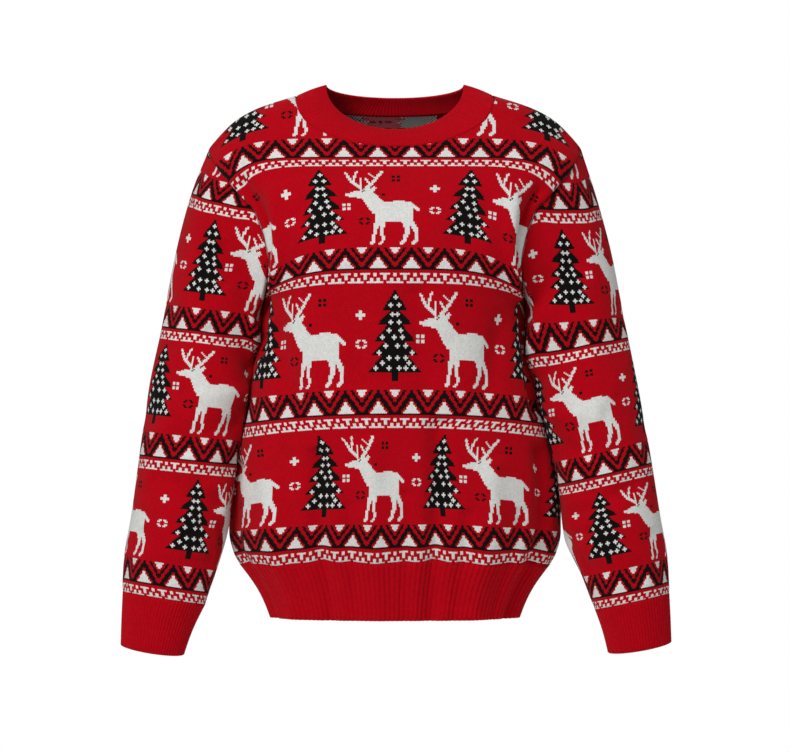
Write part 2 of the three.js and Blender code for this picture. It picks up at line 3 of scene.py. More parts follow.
import bpy
import numpy as np
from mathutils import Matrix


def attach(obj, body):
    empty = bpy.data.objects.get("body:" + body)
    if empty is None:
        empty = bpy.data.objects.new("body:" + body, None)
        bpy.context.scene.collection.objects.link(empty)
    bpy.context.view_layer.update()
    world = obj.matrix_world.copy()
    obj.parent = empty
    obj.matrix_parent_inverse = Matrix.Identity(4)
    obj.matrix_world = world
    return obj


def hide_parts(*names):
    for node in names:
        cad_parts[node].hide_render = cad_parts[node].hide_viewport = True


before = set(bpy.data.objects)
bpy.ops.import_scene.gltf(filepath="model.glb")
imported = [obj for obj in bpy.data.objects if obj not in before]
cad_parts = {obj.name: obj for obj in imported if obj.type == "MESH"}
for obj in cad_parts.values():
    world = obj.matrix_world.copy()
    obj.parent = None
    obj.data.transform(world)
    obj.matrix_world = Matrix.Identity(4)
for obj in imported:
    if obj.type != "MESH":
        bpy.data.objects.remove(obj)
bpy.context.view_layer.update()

# A knitted pullover, hollow as it is worn. The tables below are in millimetres, with +Z up, the
# front facing -Y and the origin midway between the high shoulder points. Rows of the tables are
# counted upwards from the ribbing of the body, and from the cuff on a sleeve.
MM = 0.001

# How thick the knit is, and the gap between two pieces at a seam
CLOTH = 2.4
SEAM = 0.35

# Rows of the panels at the armpit, the shoulder tip and the high shoulder point, and at the middle
# of the front and the back neckline
ARMPIT_ROW, TIP_ROW, NECK_ROW = 145, 264, 280
FRONT_NECK_ROW, BACK_NECK_ROW = 243, 268

# The neckline's share of a panel's width, and how round it is scooped
NECK_SHARE = 0.5
NECK_ROUND = 2

# The wearer's left side of the body is drawn in near the armpit, by this much round this row.
PULL = {"most": 7, "row": 120, "reach": 28}

# Each row of knit in the front runs from the middle of the panel to its end at a seam. round is
# the roundness of the row in plan, bend says how late it turns down, and gather how much wider
# its stitches are at the middle.
FRONT = (
    ("row", "endX", "endY", "endZ", "midY", "midZ", "round", "bend", "gather"),
    (0, 181.5, 0, -559, -106, -555, 2.4, 2.5, -0.1),
    (7, 188.5, 0, -546, -113, -538, 2.4, 2.5, -0.12),
    (20, 194, 0, -521, -119, -511, 2.4, 2.5, -0.12),
    (45, 194, 0, -476, -122, -458, 2.4, 2.5, -0.12),
    (65, 187, 0, -436, -123, -421, 2.4, 2.5, -0.1),
    (83, 179, 0, -396, -124, -384, 2.4, 2.5, -0.05),
    (110, 168, 0, -334, -126, -323, 2.3, 2.6, 0.1),
    (130, 160, 0, -289, -128, -278, 2.3, 3, 0.14),
    (145, 154, 0, -255, -129, -247, 2.3, 3.4, 0.16),
    (161, 151, -32, -240, -128, -212, 2.3, 4, 0.22),
    (172, 148, -50, -225, -126, -190.5, 2.3, 4, 0.34),
    (183, 147, -62, -205, -122, -169.5, 2.3, 4, 0.42),
    (195, 151, -65, -181, -113, -147.5, 2.3, 4, 0.45),
    (207, 159, -63, -157, -101, -127.5, 2.4, 5, 0.45),
    (213, 165, -60, -145, -94, -118, 2.5, 6, 0.42),
    (223, 178, -55, -132, -80, -102, 2.8, 8, 0.38),
    (235, 194, -46, -113, -67, -85.5, 3, 9, 0.32),
    (243, 205, -37, -100, -60, -72, 2.8, 8, 0.28),
    (253, 213, -22, -86, -50, -53, 2.5, 6, 0.2),
    (264, 218, 0, -75, -37, -32, 2.2, 5, 0.1),
    (267.5, 201, 0, -54, -32, -23, 2.2, 4, 0.05),
    (270.3, 185, 0, -39.5, -27, -16, 2.2, 3, 0),
    (273.8, 160, 0, -26, -20, -8, 2.2, 2.5, 0),
    (280, 113, 0, -10.5, -6, 0, 2.2, 2, 0),
)
BACK = (
    ("row", "endX", "endY", "endZ", "midY", "midZ", "round", "bend", "gather"),
    (0, 181.5, 0, -559, 96, -557, 2.4, 2.5, 0),
    (7, 188.5, 0, -546, 102, -542, 2.4, 2.5, 0),
    (20, 194, 0, -521, 106, -516, 2.4, 2.5, 0),
    (45, 194, 0, -476, 107, -468, 2.4, 2.5, 0),
    (65, 187, 0, -436, 107, -429, 2.4, 2.5, 0),
    (83, 179, 0, -396, 107, -391, 2.4, 2.5, 0),
    (110, 168, 0, -334, 107, -331, 2.3, 2.6, 0.05),
    (130, 160, 0, -289, 108, -286, 2.3, 3, 0.08),
    (145, 154, 0, -255, 109, -252, 2.3, 3.4, 0.1),
    (161, 153, 30, -238, 110, -222, 2.3, 4, 0.14),
    (172, 155, 47, -221, 110, -200, 2.3, 4, 0.18),
    (183, 158, 57, -201, 110, -178, 2.3, 4, 0.2),
    (195, 163, 61, -179, 108, -156, 2.3, 4, 0.2),
    (207, 171, 60, -157, 105, -134, 2.4, 4, 0.2),
    (223, 187, 52, -131, 98, -106, 2.6, 5, 0.18),
    (235, 198, 43, -114, 91, -86, 2.8, 6, 0.16),
    (243, 206, 36, -101, 85, -73, 2.7, 6, 0.14),
    (253, 213, 21, -87, 77, -56, 2.5, 5, 0.12),
    (264, 218, 0, -75, 68, -40, 2.3, 4, 0.1),
    (267.5, 201, 0, -54, 64, -34, 2.2, 4, 0.05),
    (270.3, 185, 0, -39.5, 58, -28, 2.2, 3, 0),
    (273.8, 160, 0, -26, 48, -20, 2.2, 2.5, 0),
    (280, 113, 0, -10.5, 32, -12, 2.2, 2, 0),
)

# Rings of a sleeve: where a row of knit passes the outer and the inner side of the arm, its depth
# before and behind the middle, and how far forward the middle is.
SLEEVE_RIGHT = (
    ("row", "outX", "outZ", "inX", "inZ", "before", "behind", "midY"),
    (0, -317, -590, -221, -605, 42, 41, -42),
    (7, -317.6, -575.6, -217, -592, 45, 43, -42),
    (20, -315.5, -548.7, -208, -566, 48, 46, -41),
    (45, -307.5, -502, -193.5, -515, 50, 48, -39),
    (83, -298, -431.7, -184, -443, 51, 50, -35),
    (120, -286.5, -350, -170, -363, 52, 50, -28),
    (159, -272.5, -282, -161, -295, 55, 51, -15),
    (179, -265.5, -241, -156, -255, 57, 53, -6),
    (207, -253.5, -182, -148, -205, 60, 56, 0),
    (235, -237.5, -124, -141, -160, 62, 58, 0),
    (259, -218, -75, -132, -125, 62, 58, 0),
)
SLEEVE_LEFT = (
    ("row", "outX", "outZ", "inX", "inZ", "before", "behind", "midY"),
    (0, 319.4, -592, 233, -611, 42, 41, -42),
    (7, 319.6, -580, 228, -599, 45, 43, -42),
    (20, 317.7, -552, 218, -573, 48, 46, -41),
    (45, 309.5, -504, 197, -526, 50, 48, -39),
    (83, 299.5, -441, 190, -466, 51, 50, -35),
    (120, 285.8, -363, 171.5, -388, 52, 50, -26),
    (159, 272.6, -295, 155, -316, 55, 51, -10),
    (179, 265, -256, 154.5, -264, 57, 53, -3),
    (207, 253.5, -197, 148, -220, 60, 56, 0),
    (235, 238, -138, 141, -174, 62, 58, 0),
    (259, 218, -75, 132, -125, 62, 58, 0),
)

# The edge of the sleeve cap, from the underarm to the shoulder tip: how far along the armhole it
# is, the turn round the arm there, and the row of the sleeve.
CAP = (
    ("along", "turn", "row"),
    (0, 0, 179),
    (0.17, 0.05, 197),
    (0.33, 0.1, 213),
    (0.56, 0.18, 235),
    (0.76, 0.3, 250),
    (0.89, 0.4, 257),
    (1, 0.5, 259),
)

# How many rows of a sleeve bend towards its cap, and the middle of the left armhole
CAP_BLEND = 70
ARMHOLE = (154, 0, -165)

# The free edges of the ribbing, how far the middle of a cuff's edge sags, and how much the
# ribbing bulges between its seam and its free edge
HEM_ROWS = 28
HEM_ROUND = 2.4
HEM_BULGE, CUFF_BULGE = 0.12, 0.08
HEM_END = {"halfWidth": 146, "front": -89, "back": 84, "sideZ": -621, "midZ": -623}
CUFF_RIGHT_END = {"outX": -319.4, "outZ": -651.5, "inX": -245.7, "inZ": -663, "deep": 33, "midY": -44}
CUFF_LEFT_END = {"outX": 321.8, "outZ": -648, "inX": 248, "inZ": -660.5, "deep": 33, "midY": -44}
CUFF_SAG = 4
NECK_END = {"halfWidth": 81, "front": -41, "back": 52, "top": 1.5, "frontDrop": 53, "backDrop": 14}
NECK_BULGE = 1

# Folds: each is a trough or ridge between two points of a panel, or of a sleeve with the turn
# round the arm in place of the share. Width and depth are in millimetres, and a share, a turn and
# a row count as the lengths below the tables. The depth of a ridge is above 0.
FRONT_FOLDS = (
    ("share", "row", "toShare", "toRow", "width", "depth"),
    (-0.9, 228, -0.84, 190, 14, -9),
    (-0.7, 214, -0.76, 160, 18, 7),
    (-0.86, 176, -0.78, 120, 15, -7),
    (0.88, 222, 0.82, 172, 15, -11),
    (0.68, 210, 0.72, 150, 18, 8),
    (0.84, 160, 0.8, 92, 16, -9),
    (0.22, 78, 0.21, -40, 13, -10),
    (-0.38, 62, -0.4, -40, 13, -9),
    (0.76, 68, 0.74, -40, 14, -9),
    (-0.86, 60, -0.84, -40, 13, -7),
    (-0.62, 130, -0.5, 92, 19, -6),
    (0.55, 132, 0.45, 96, 19, -6),
    (-0.24, 154, -0.17, 100, 20, -4),
    (0.1, 146, 0.15, 92, 17, -4),
    (-0.05, 160, -0.02, 110, 19, 3),
    (-0.12, 66, -0.1, -30, 16, 5),
    (0.48, 56, 0.48, -40, 16, 6),
    (-0.62, 48, -0.62, -40, 16, 6),
    (-0.5, 200, -0.3, 176, 22, -3),
    (0.5, 204, 0.32, 178, 22, -4),
    (0.05, 36, 0.06, -40, 9, -3),
    (-0.24, 30, -0.25, -40, 9, -3),
    (0.36, 26, 0.36, -40, 8, -3),
    (0.62, 30, 0.61, -40, 8, -3),
)
BACK_FOLDS = (
    ("share", "row", "toShare", "toRow", "width", "depth"),
    (-0.8, 225, -0.74, 165, 17, -9),
    (0.78, 222, 0.72, 160, 17, -9),
    (0.62, 214, 0.6, 150, 18, 5),
    (-0.6, 210, -0.62, 156, 18, 5),
    (-0.3, 70, -0.33, -40, 14, -9),
    (0.15, 64, 0.18, -40, 14, -8),
    (0.6, 62, 0.58, -40, 14, -8),
    (-0.7, 52, -0.7, -40, 16, 6),
    (-0.08, 56, -0.06, -40, 16, 5),
    (0.38, 50, 0.38, -40, 15, 5),
    (-0.4, 140, 0.3, 120, 22, -4),
    (-0.55, 122, -0.2, 100, 18, -4),
    (0.6, 128, 0.3, 104, 18, -5),
    (0, 40, 0.02, -40, 8, -3),
    (0.84, 60, 0.82, -40, 12, -6),
    (-0.86, 56, -0.84, -40, 12, -6),
)
SLEEVE_FOLDS = (
    ("share", "row", "toShare", "toRow", "width", "depth"),
    (0.07, 176, 0.27, 204, 17, -7),
    (0.03, 160, 0.2, 184, 12, 4),
    (0.05, 140, 0.24, 160, 16, -6),
    (0.08, 104, 0.3, 92, 16, -6),
    (0.07, 122, 0.26, 116, 13, 4),
    (0.06, 82, 0.2, 74, 11, -4),
    (0.12, 58, 0.34, 72, 17, -5),
    (0.04, 40, 0.17, 46, 12, -5),
    (0.1, 24, 0.3, 16, 14, -4),
    (0.38, 34, 0.45, 8, 14, -3),
    (0.34, 120, 0.46, 100, 18, -3),
    (0.36, 150, 0.44, 176, 18, -3),
    (0.93, 172, 0.74, 198, 18, -7),
    (0.95, 140, 0.76, 156, 15, -5),
    (0.92, 112, 0.7, 100, 17, -6),
    (0.95, 84, 0.78, 78, 13, -4),
    (0.9, 48, 0.66, 62, 17, -5),
    (0.94, 22, 0.7, 16, 14, -4),
)
SHARE_MM = 256
TURN_MM = 350
ROW_MM = 2.2

# The yarns and the chart. A repeat of figures is 90 stitches wide and 87 knit rows high, which
# take 76 rows of the tables above. A stitch is 1.9 mm wide and high.
RED, BLACK, WHITE = 0, 1, 2
ACROSS, UP = 90, 87
STITCH_MM = 1.9
CHART_START = 8
TABLE_START = 7
KNIT = UP / 76
PANEL_STITCHES = 280
SLEEVE_STITCHES = 214

# The zigzag of a band: stitches from point to point, how far its lines lean in a row, and the
# yarns outwards from the white point at the bottom, with the places where they change.
ZIGZAG = 20
ZIGZAG_ROWS = 15
ZIGZAG_LEAN = 0.7
ZIGZAG_EDGES = (5.4, 6.9, 10.4, 12.6, 14.8, 16.6)
ZIGZAG_YARNS = (WHITE, RED, BLACK, RED, BLACK, RED, WHITE)

# The white border below each zigzag, from its top row down, and the red rows that hold it
BORDER = (
    "#..######..#",
    "#....##....#",
    ".....##.....",
    ".##..##..##.",
    ".##......##.",
    "#####..#####",
)
BORDER_ROWS = 8

# The fir tree, by rows above the band below it: its tiers, its trunk and the stars on it
TIERS = (
    ("top", "halfTop", "bottom", "halfBottom"),
    (74.5, 0.6, 61.5, 8),
    (61.5, 3.4, 53, 10.8),
    (53, 4.4, 42.5, 13),
    (42.5, 6.4, 35, 15),
    (35, 8, 25, 16),
)
TRUNK = {"top": 25, "bottom": 19.5, "half": 2}
STARS = {
    70: (0,),
    65: (-3, 2),
    59: (-2, 1),
    54: (-3, 2),
    49: (-4, 3),
    45: (-8, -1, 4),
    40: (-6, 1, 6),
    36: (-10, 10),
    33: (-4, 1, 6),
    30: (-8, 8),
    27: (-12, -4, 2, 6, 11),
}

# The deer is drawn as limbs: thick strokes between two points, in stitches from its nose and
# rows above the band.
DEER_AT = 15
DEER = (
    ("stitch", "row", "radius", "toStitch", "toRow", "toRadius"),
    (1.2, 53.8, 1, 4.5, 54, 2.4),
    (4.5, 54, 2.4, 10, 54.3, 3),
    (10, 54.3, 3, 13.5, 55.6, 4),
    (16.2, 57.6, 1.2, 17.6, 59.4, 1.2),
    (13.2, 53.6, 4.2, 20, 43.6, 5.4),
    (25.6, 40.4, 7.4, 33.4, 41.2, 7.9),
    (34.5, 43.4, 5, 36.4, 42.6, 5),
    (22.4, 37.6, 4.4, 24, 42, 6),
    (36.8, 36.6, 4.2, 36.4, 40.6, 4.6),
    (39, 47, 1.3, 43.8, 42, 1.2),
    (19.8, 35, 2, 18, 27, 1.1),
    (18, 27, 1.1, 16.8, 20, 0.9),
    (17, 18.8, 0.9, 15.4, 17.8, 0.9),
    (22.2, 34, 2.4, 22, 27, 1.1),
    (22, 27, 1.1, 22.8, 20.4, 0.9),
    (22.6, 19, 0.9, 21.2, 17.9, 0.9),
    (37, 33, 2.8, 37.9, 26.4, 1.4),
    (37.9, 26.4, 1.4, 35.6, 20.6, 1.1),
    (35.6, 19.6, 1.1, 33.8, 17.9, 0.9),
    (38.8, 34, 2, 42.8, 27.4, 1.4),
    (42.8, 27.4, 1.4, 43.2, 20.6, 1.1),
    (43, 19.6, 1.1, 41, 17.9, 0.9),
    (9.6, 57, 0.8, 9.6, 67.4, 0.6),
    (9.4, 59.4, 0.8, 4.2, 64.8, 0.9),
    (4.2, 64.8, 0.9, 0.4, 72.6, 0.8),
    (5, 64.2, 0.8, 6, 69, 0.7),
    (6, 69, 0.7, 7.2, 73.4, 0.7),
    (12.8, 59, 1.2, 18.4, 66.6, 1),
    (18.4, 66.6, 1, 20.2, 70.2, 0.9),
    (20.2, 70.2, 0.9, 22.2, 73, 0.9),
    (18.4, 67.6, 0.6, 14.6, 71.4, 0.7),
    (15.2, 63, 0.7, 12.4, 67, 0.7),
)
EYE = ((10, 56), (11, 57))

# The small marks between the figures, each by its middle
MARKS = (
    ("stitch", "row", "yarn", "shape"),
    (45, 67, BLACK, "four dots"),
    (69, 59, WHITE, "cross"),
    (38, 54, BLACK, "dot"),
    (15, 44, WHITE, "four dots"),
    (26, 33, BLACK, "ring"),
    (69, 41, WHITE, "ring"),
)
SHAPES = {
    "star": (".#.", "###", ".#."),
    "four dots": ("##.##", "##.##", ".....", "##.##", "##.##"),
    "dot": ("##", "##"),
    "cross": ("..##..", "..##..", "######", "######", "..##..", "..##.."),
    "ring": (".##.##.", "##...##", ".......", "##...##", ".##.##."),
}

# How far the figures of each row of figures are shifted, from the lowest row up
FRONT_SHIFTS = (37, 0, 45, 0)
BACK_SHIFTS = (40, 2, 46, 7)
RIGHT_SLEEVE_SHIFTS = (59, 19, 43, -3)
LEFT_SLEEVE_SHIFTS = (-56, -4, -53, 7)

# How wide a stitch is at the middle of each panel, in millimetres. Low on the body all the
# stitches fit between the side seams, and higher up the rows are cut off at the seams.
STITCH_WIDTHS = (
    ("row", "front", "back"),
    (0, 1.74, 1.84),
    (8, 1.7, 1.84),
    (22, 1.6, 1.84),
    (45, 1.5, 1.84),
    (66, 1.56, 1.84),
    (84, 1.9, 1.84),
    (110, 1.95, 1.84),
    (145, 1.95, 1.84),
    (190, 1.9, 1.86),
    (235, 1.98, 1.9),
    (280, 2, 1.9),
)
CUT_START, CUT_ROWS = 80, 24
SLEEVE_STITCH_MM = 1.7

# Steps of share or turn, and of rows, between the points that give a normal
STEP = 0.004
PANEL_STEP_ROWS, SLEEVE_STEP_ROWS = 0.4, 0.5

# Points across a rib, where the first row of ribbing lies past its seam, and the height in a rib
# that stays in place as ribs and furrows form. A lip is rows of points round a free edge: how far
# towards the inner side, and how far out.
RIB_STEPS = 6
RIB_START = 0.003
RIB_MIDDLE = 0.75
LIP = ((0.15, 0.5), (0.5, 0.9), (0.85, 0.5))

# The bare rim of each piece's map for baking, the height of the strip for its cut edges, and how
# finely the points of a mesh are told apart
RIM = 0.01
EDGE_STRIP = 0.02
STEPS_PER_MM = 2e4


def lines_of(table):
    """The lines of a table as dicts by its column names."""
    return [dict(zip(table[0], line)) for line in table[1:]]


def reader(table):
    """Reads every named column of a table at any places of its first column, on smooth curves."""
    names, data = table[0], np.array(table[1:], float)
    places = data[:, 0]
    steps = np.diff(places)
    rises = np.diff(data, axis=0) / steps[:, None]
    slopes = np.empty_like(data)
    slopes[0], slopes[-1] = rises[0], rises[-1]
    before, after = rises[:-1], rises[1:]
    a = (2 * steps[1:] + steps[:-1])[:, None]
    b = (steps[1:] + 2 * steps[:-1])[:, None]
    turning = before * after <= 0
    safe_before = np.where(turning, 1, before)
    safe_after = np.where(turning, 1, after)
    slopes[1:-1] = np.where(turning, 0, (a + b) / (a / safe_before + b / safe_after))

    def read(place):
        at = np.clip(np.asarray(place, float), places[0], places[-1])
        i = np.clip(np.searchsorted(places, at, side="right") - 1, 0, len(places) - 2)
        step = steps[i]
        x = (at - places[i]) / step
        out = {}
        for c, name in enumerate(names):
            start, end = data[i, c], data[i + 1, c]
            u, v = slopes[i, c] * step, slopes[i + 1, c] * step
            cubic = 2 * (start - end) + u + v
            out[name] = start + x * (u + x * (3 * (end - start) - 2 * u - v + x * cubic))
        return out

    return read


def unit(v):
    """Vectors made one long."""
    return v / np.maximum(np.linalg.norm(v, axis=-1, keepdims=True), 1e-12)


def smooth(x):
    """A soft step from 0 to 1."""
    k = np.clip(x, 0, 1)
    return k * k * (3 - 2 * k)


def mix(a, b, k):
    """What lies between a and b, a share k of the way."""
    return a + (b - a) * k


def quarter(width, depth, roundness, share):
    """A place on a quarter ring by its share of the length: how far across and how deep it is."""
    parts = (np.atleast_1d(v).astype(float) for v in (width, depth, roundness, share))
    width, depth, roundness, share = parts
    angle = np.linspace(0, math.pi / 2, 49)
    power = (2 / roundness)[:, None]
    across = np.sin(angle) ** power
    deep = np.cos(angle).clip(0) ** power
    deep[:, -1] = 0
    pieces = np.hypot(np.diff(across) * width[:, None], np.diff(deep) * depth[:, None])
    lengths = np.concatenate([np.zeros((len(pieces), 1)), np.cumsum(pieces, axis=1)], axis=1)
    goal = share * lengths[:, -1]
    i = np.clip((lengths < goal[:, None]).sum(axis=1), 1, len(angle) - 1)
    k = np.arange(len(i))
    part = (goal - lengths[k, i - 1]) / (lengths[k, i] - lengths[k, i - 1])
    return mix(across[k, i - 1], across[k, i], part), mix(deep[k, i - 1], deep[k, i], part)


def pull(side, row):
    """How far the side seam is drawn in, on the wearer's left side only."""
    from_row = (row - PULL["row"]) / PULL["reach"]
    return np.where(side > 0, PULL["most"] * np.exp(-(from_row**2)), 0)


def end_point(read, side, row):
    """Points of a panel at its end, on the side seam or the armhole."""
    at = read(row)
    return np.stack([side * (at["endX"] - pull(side, row)), at["endY"], at["endZ"]], axis=-1)


def top_row(neck_row, share):
    """The row where a panel ends above a share of its half width."""
    part = np.abs(share) / NECK_SHARE
    slope = TIP_ROW + (NECK_ROW - TIP_ROW) * (1 - np.abs(share)) / (1 - NECK_SHARE)
    dip = (1 - np.minimum(part, 1) ** NECK_ROUND) ** (1 / NECK_ROUND)
    return np.where(part >= 1, slope, NECK_ROW - (NECK_ROW - neck_row) * dip)


def panel_point(read, share, row):
    """Points of a panel by their share of the half width, -1 to 1, and their row."""
    at = read(row)
    side = np.where(share < 0, -1, 1)
    above = np.maximum(0, row - TIP_ROW) / (NECK_ROW - TIP_ROW)
    part = np.minimum(1, np.abs(share) / (1 - (1 - NECK_SHARE) * above))
    along = part + at["gather"] * np.sin(math.pi * part) / math.pi
    half = at["endX"] - pull(side, row)
    across, deep = quarter(half, np.abs(at["midY"] - at["endY"]), at["round"], along)
    return np.stack(
        [
            side * half * across,
            at["endY"] + (at["midY"] - at["endY"]) * deep,
            at["midZ"] + (at["endZ"] - at["midZ"]) * across ** at["bend"],
        ],
        axis=-1,
    )


def fold_depth(folds, place, row, place_mm):
    """How far the folds of a table push the cloth out at each place."""
    total = np.zeros(np.broadcast(place, row).shape)
    for fold in lines_of(folds):
        ax, ay = fold["share"] * place_mm, fold["row"] * ROW_MM
        bx, by = fold["toShare"] * place_mm - ax, fold["toRow"] * ROW_MM - ay
        px, py = place * place_mm - ax, row * ROW_MM - ay
        length = math.hypot(bx, by)
        width = fold["width"]
        along = (px * bx + py * by) / length
        off = (px * by - py * bx) / length
        fade = smooth(along / width + 1) * smooth((length - along) / width + 1)
        total += fold["depth"] * fade * np.exp(-((off / width) ** 2))
    return total


def seam_fade(share):
    """Folds fade out close to the side seams, so that two panels meet there."""
    return 1 - np.abs(share) ** 16


def armhole_normal(side, point):
    """The direction of a cut edge at an armhole, straight away from its middle."""
    return unit(point - np.array([side * ARMHOLE[0], ARMHOLE[1], ARMHOLE[2]]))


def stamp(chart, picture, stitch, row, yarn):
    """Draws a small picture round a place of the chart."""
    left, bottom = stitch - len(picture[0]) // 2, row - len(picture) // 2
    for up, line in enumerate(reversed(picture)):
        for over, mark in enumerate(line):
            if mark == "#":
                chart[(bottom + up) % UP, (left + over) % ACROSS] = yarn


def draw_figures():
    """The chart of one repeat of the figures: a fir tree, a deer and the marks between them."""
    chart = np.full((UP, ACROSS), RED)
    row, stitch = np.mgrid[0:UP, 0:ACROSS] + 0.5
    beside = np.abs((stitch + ACROSS / 2) % ACROSS - ACROSS / 2)
    for tier in lines_of(TIERS):
        drop = (tier["top"] - row) / (tier["top"] - tier["bottom"])
        half = mix(tier["halfTop"], tier["halfBottom"], drop)
        chart[(drop >= 0) & (drop < 1) & (beside < half)] = BLACK
    chart[(row < TRUNK["top"]) & (row > TRUNK["bottom"]) & (beside < TRUNK["half"])] = BLACK
    for star_row, places in STARS.items():
        for place in places:
            stamp(chart, SHAPES["star"], place, star_row, WHITE)
    over = stitch - DEER_AT
    for limb in lines_of(DEER):
        bx, by = limb["toStitch"] - limb["stitch"], limb["toRow"] - limb["row"]
        px, py = over - limb["stitch"], row - limb["row"]
        along = np.clip((px * bx + py * by) / (bx * bx + by * by), 0, 1)
        radius = mix(limb["radius"], limb["toRadius"], along)
        chart[np.hypot(px - along * bx, py - along * by) < radius] = WHITE
    for place, eye_row in EYE:
        chart[eye_row, DEER_AT + place] = BLACK
    for mark in lines_of(MARKS):
        stamp(chart, SHAPES[mark["shape"]], mark["stitch"], mark["row"], mark["yarn"])
    return chart


FIGURES = draw_figures()
BORDER_MARKS = np.array([[mark == "#" for mark in line] for line in reversed(BORDER)])


def yarn_at(stitch, row, shifts):
    """The yarn of each stitch. stitch is counted from the middle and row from the ribbing."""
    level = np.floor_divide(row - CHART_START, UP)
    above = row - CHART_START - level * UP
    shift = np.array(shifts)[np.clip(level, 0, len(shifts) - 1)]
    yarn = FIGURES[above, (stitch - shift) % ACROSS]
    from_point = np.abs((stitch + 0.5) % ZIGZAG - ZIGZAG / 2)
    place = np.searchsorted(ZIGZAG_EDGES, from_point + ZIGZAG_LEAN * above)
    yarn = np.where(above < ZIGZAG_ROWS, np.array(ZIGZAG_YARNS)[place], yarn)
    yarn = np.where(above == 0, BLACK, yarn)
    line = above - (UP - BORDER_ROWS)
    lines, wide = BORDER_MARKS.shape
    marked = BORDER_MARKS[np.clip(line, 0, lines - 1), stitch % wide]
    marked = marked & (line >= 0) & (line < lines)
    return np.where(marked, WHITE, np.where(line >= 0, RED, yarn))


def table_row(knit_row):
    """The row of the tables at a row of the chart."""
    return TABLE_START + (knit_row - CHART_START) / KNIT


def knit_row(row):
    """The row of the chart at a row of the tables."""
    return CHART_START + (row - TABLE_START) * KNIT


def node(tree, kind, links=None, **settings):
    """Adds a shader node. Settings are its own, or values of its sockets, and links go to sockets."""
    made = tree.nodes.new(kind)
    for name, value in settings.items():
        if hasattr(made, name):
            setattr(made, name, value)
        else:
            made.inputs[name.replace("_", " ")].default_value = value
    for name, source in (links or {}).items():
        tree.links.new(source, made.inputs[name])
    return made


def linear(hex_colour):
    """An sRGB hex colour as linear RGBA."""
    parts = [int(hex_colour[i : i + 2], 16) / 255 for i in (0, 2, 4)]
    return [p / 12.92 if p <= 0.04045 else ((p + 0.055) / 1.055) ** 2.4 for p in parts] + [1]


# Dyed acrylic and wool-blend yarn: matt, slightly fuzzy, each stitch two slanting legs of twisted
# yarn, so the light breaks up on every stitch and there is no clear highlight.
RED_YARN = linear("BE0015")
BLACK_YARN = linear("110E0C")
WHITE_YARN = linear("E9EAE6")
FLOAT_MARL = linear("E08C96")

# The two yarns that show on the wrong side of a red, a black and a white stitch
BEHIND = ((BLACK_YARN, WHITE_YARN), (FLOAT_MARL, RED_YARN), (RED_YARN, BLACK_YARN))

# How far the legs of a stitch rise, in rows; the least tone of a stitch; the painted shade in the furrow
# between two legs on the right side, and the darker painted shade over the whole wrong side; and the
# painted light that a leg adds to it
V_RISE = 0.45
STITCH_LEAST = 0.86
FURROW_SHADE, WRONG_SIDE_SHADE, LEG_LIGHT = 0.72, 0.3, 0.32

# Per metre: patches of dye are about 26 mm long, and the fuzz of loose fibres half a millimetre,
# drawn coarser than real so that it shows. The legs of a stitch stand 0.6 mm out.
DYE_SCALE = 38.0
FUZZ_SCALE = 1800.0
RELIEF = 0.0006


def math_node(tree, operation, a, b=None, c=None):
    """One sum on numbers or sockets."""
    made = node(tree, "ShaderNodeMath", operation=operation)
    for i, value in enumerate((a, b, c)):
        if value is None:
            continue
        if isinstance(value, (int, float)):
            made.inputs[i].default_value = value
        else:
            tree.links.new(value, made.inputs[i])
    return made.outputs[0]


def colour_mix(tree, factor, a, b):
    """A mix of two colours, given as values or sockets."""
    made = node(tree, "ShaderNodeMix", data_type="RGBA", blend_type="MIX")
    for i, value in ((0, factor), (6, a), (7, b)):
        if isinstance(value, (int, float, list)):
            made.inputs[i].default_value = value
        else:
            tree.links.new(value, made.inputs[i])
    return made.outputs[2]


def stitch_places(tree):
    """Where a point lies among the stitches: how far from the middle of its V, how far up the V,
    and the column and row of its stitch."""
    uv = node(tree, "ShaderNodeUVMap", uv_map="stitches").outputs[0]
    parts = node(tree, "ShaderNodeSeparateXYZ", {"Vector": uv})
    across, up = parts.outputs[0], parts.outputs[1]
    fract_across = math_node(tree, "FRACT", across)
    twice = math_node(tree, "MULTIPLY_ADD", fract_across, 2, -1)
    side = math_node(tree, "ABSOLUTE", twice)
    rise = math_node(tree, "MULTIPLY_ADD", side, -V_RISE, V_RISE)
    climbed = math_node(tree, "ADD", math_node(tree, "FRACT", up), rise)
    column = math_node(tree, "FLOOR", across)
    row = math_node(tree, "ADD", math_node(tree, "FLOOR", up), math_node(tree, "FLOOR", climbed))
    return {"side": side, "climbed": climbed, "column": column, "row": row}


def yarn_height(tree, places):
    """The relief of the two legs of a stitch."""
    leg = math_node(tree, "SINE", math_node(tree, "MULTIPLY", places["side"], math.pi))
    step = math_node(tree, "FRACT", places["climbed"])
    swell = math_node(tree, "SINE", math_node(tree, "MULTIPLY", step, math.pi))
    return math_node(tree, "MULTIPLY", leg, math_node(tree, "MULTIPLY_ADD", swell, 0.5, 0.5))


def stitch_tone(tree, places):
    """A small change of tone from stitch to stitch, between STITCH_LEAST and 1."""
    cell = node(tree, "ShaderNodeCombineXYZ", {"X": places["column"], "Y": places["row"]})
    noise = node(tree, "ShaderNodeTexWhiteNoise", {"Vector": cell.outputs[0]}, noise_dimensions="2D")
    return math_node(tree, "MULTIPLY_ADD", noise.outputs["Value"], 1 - STITCH_LEAST, STITCH_LEAST)


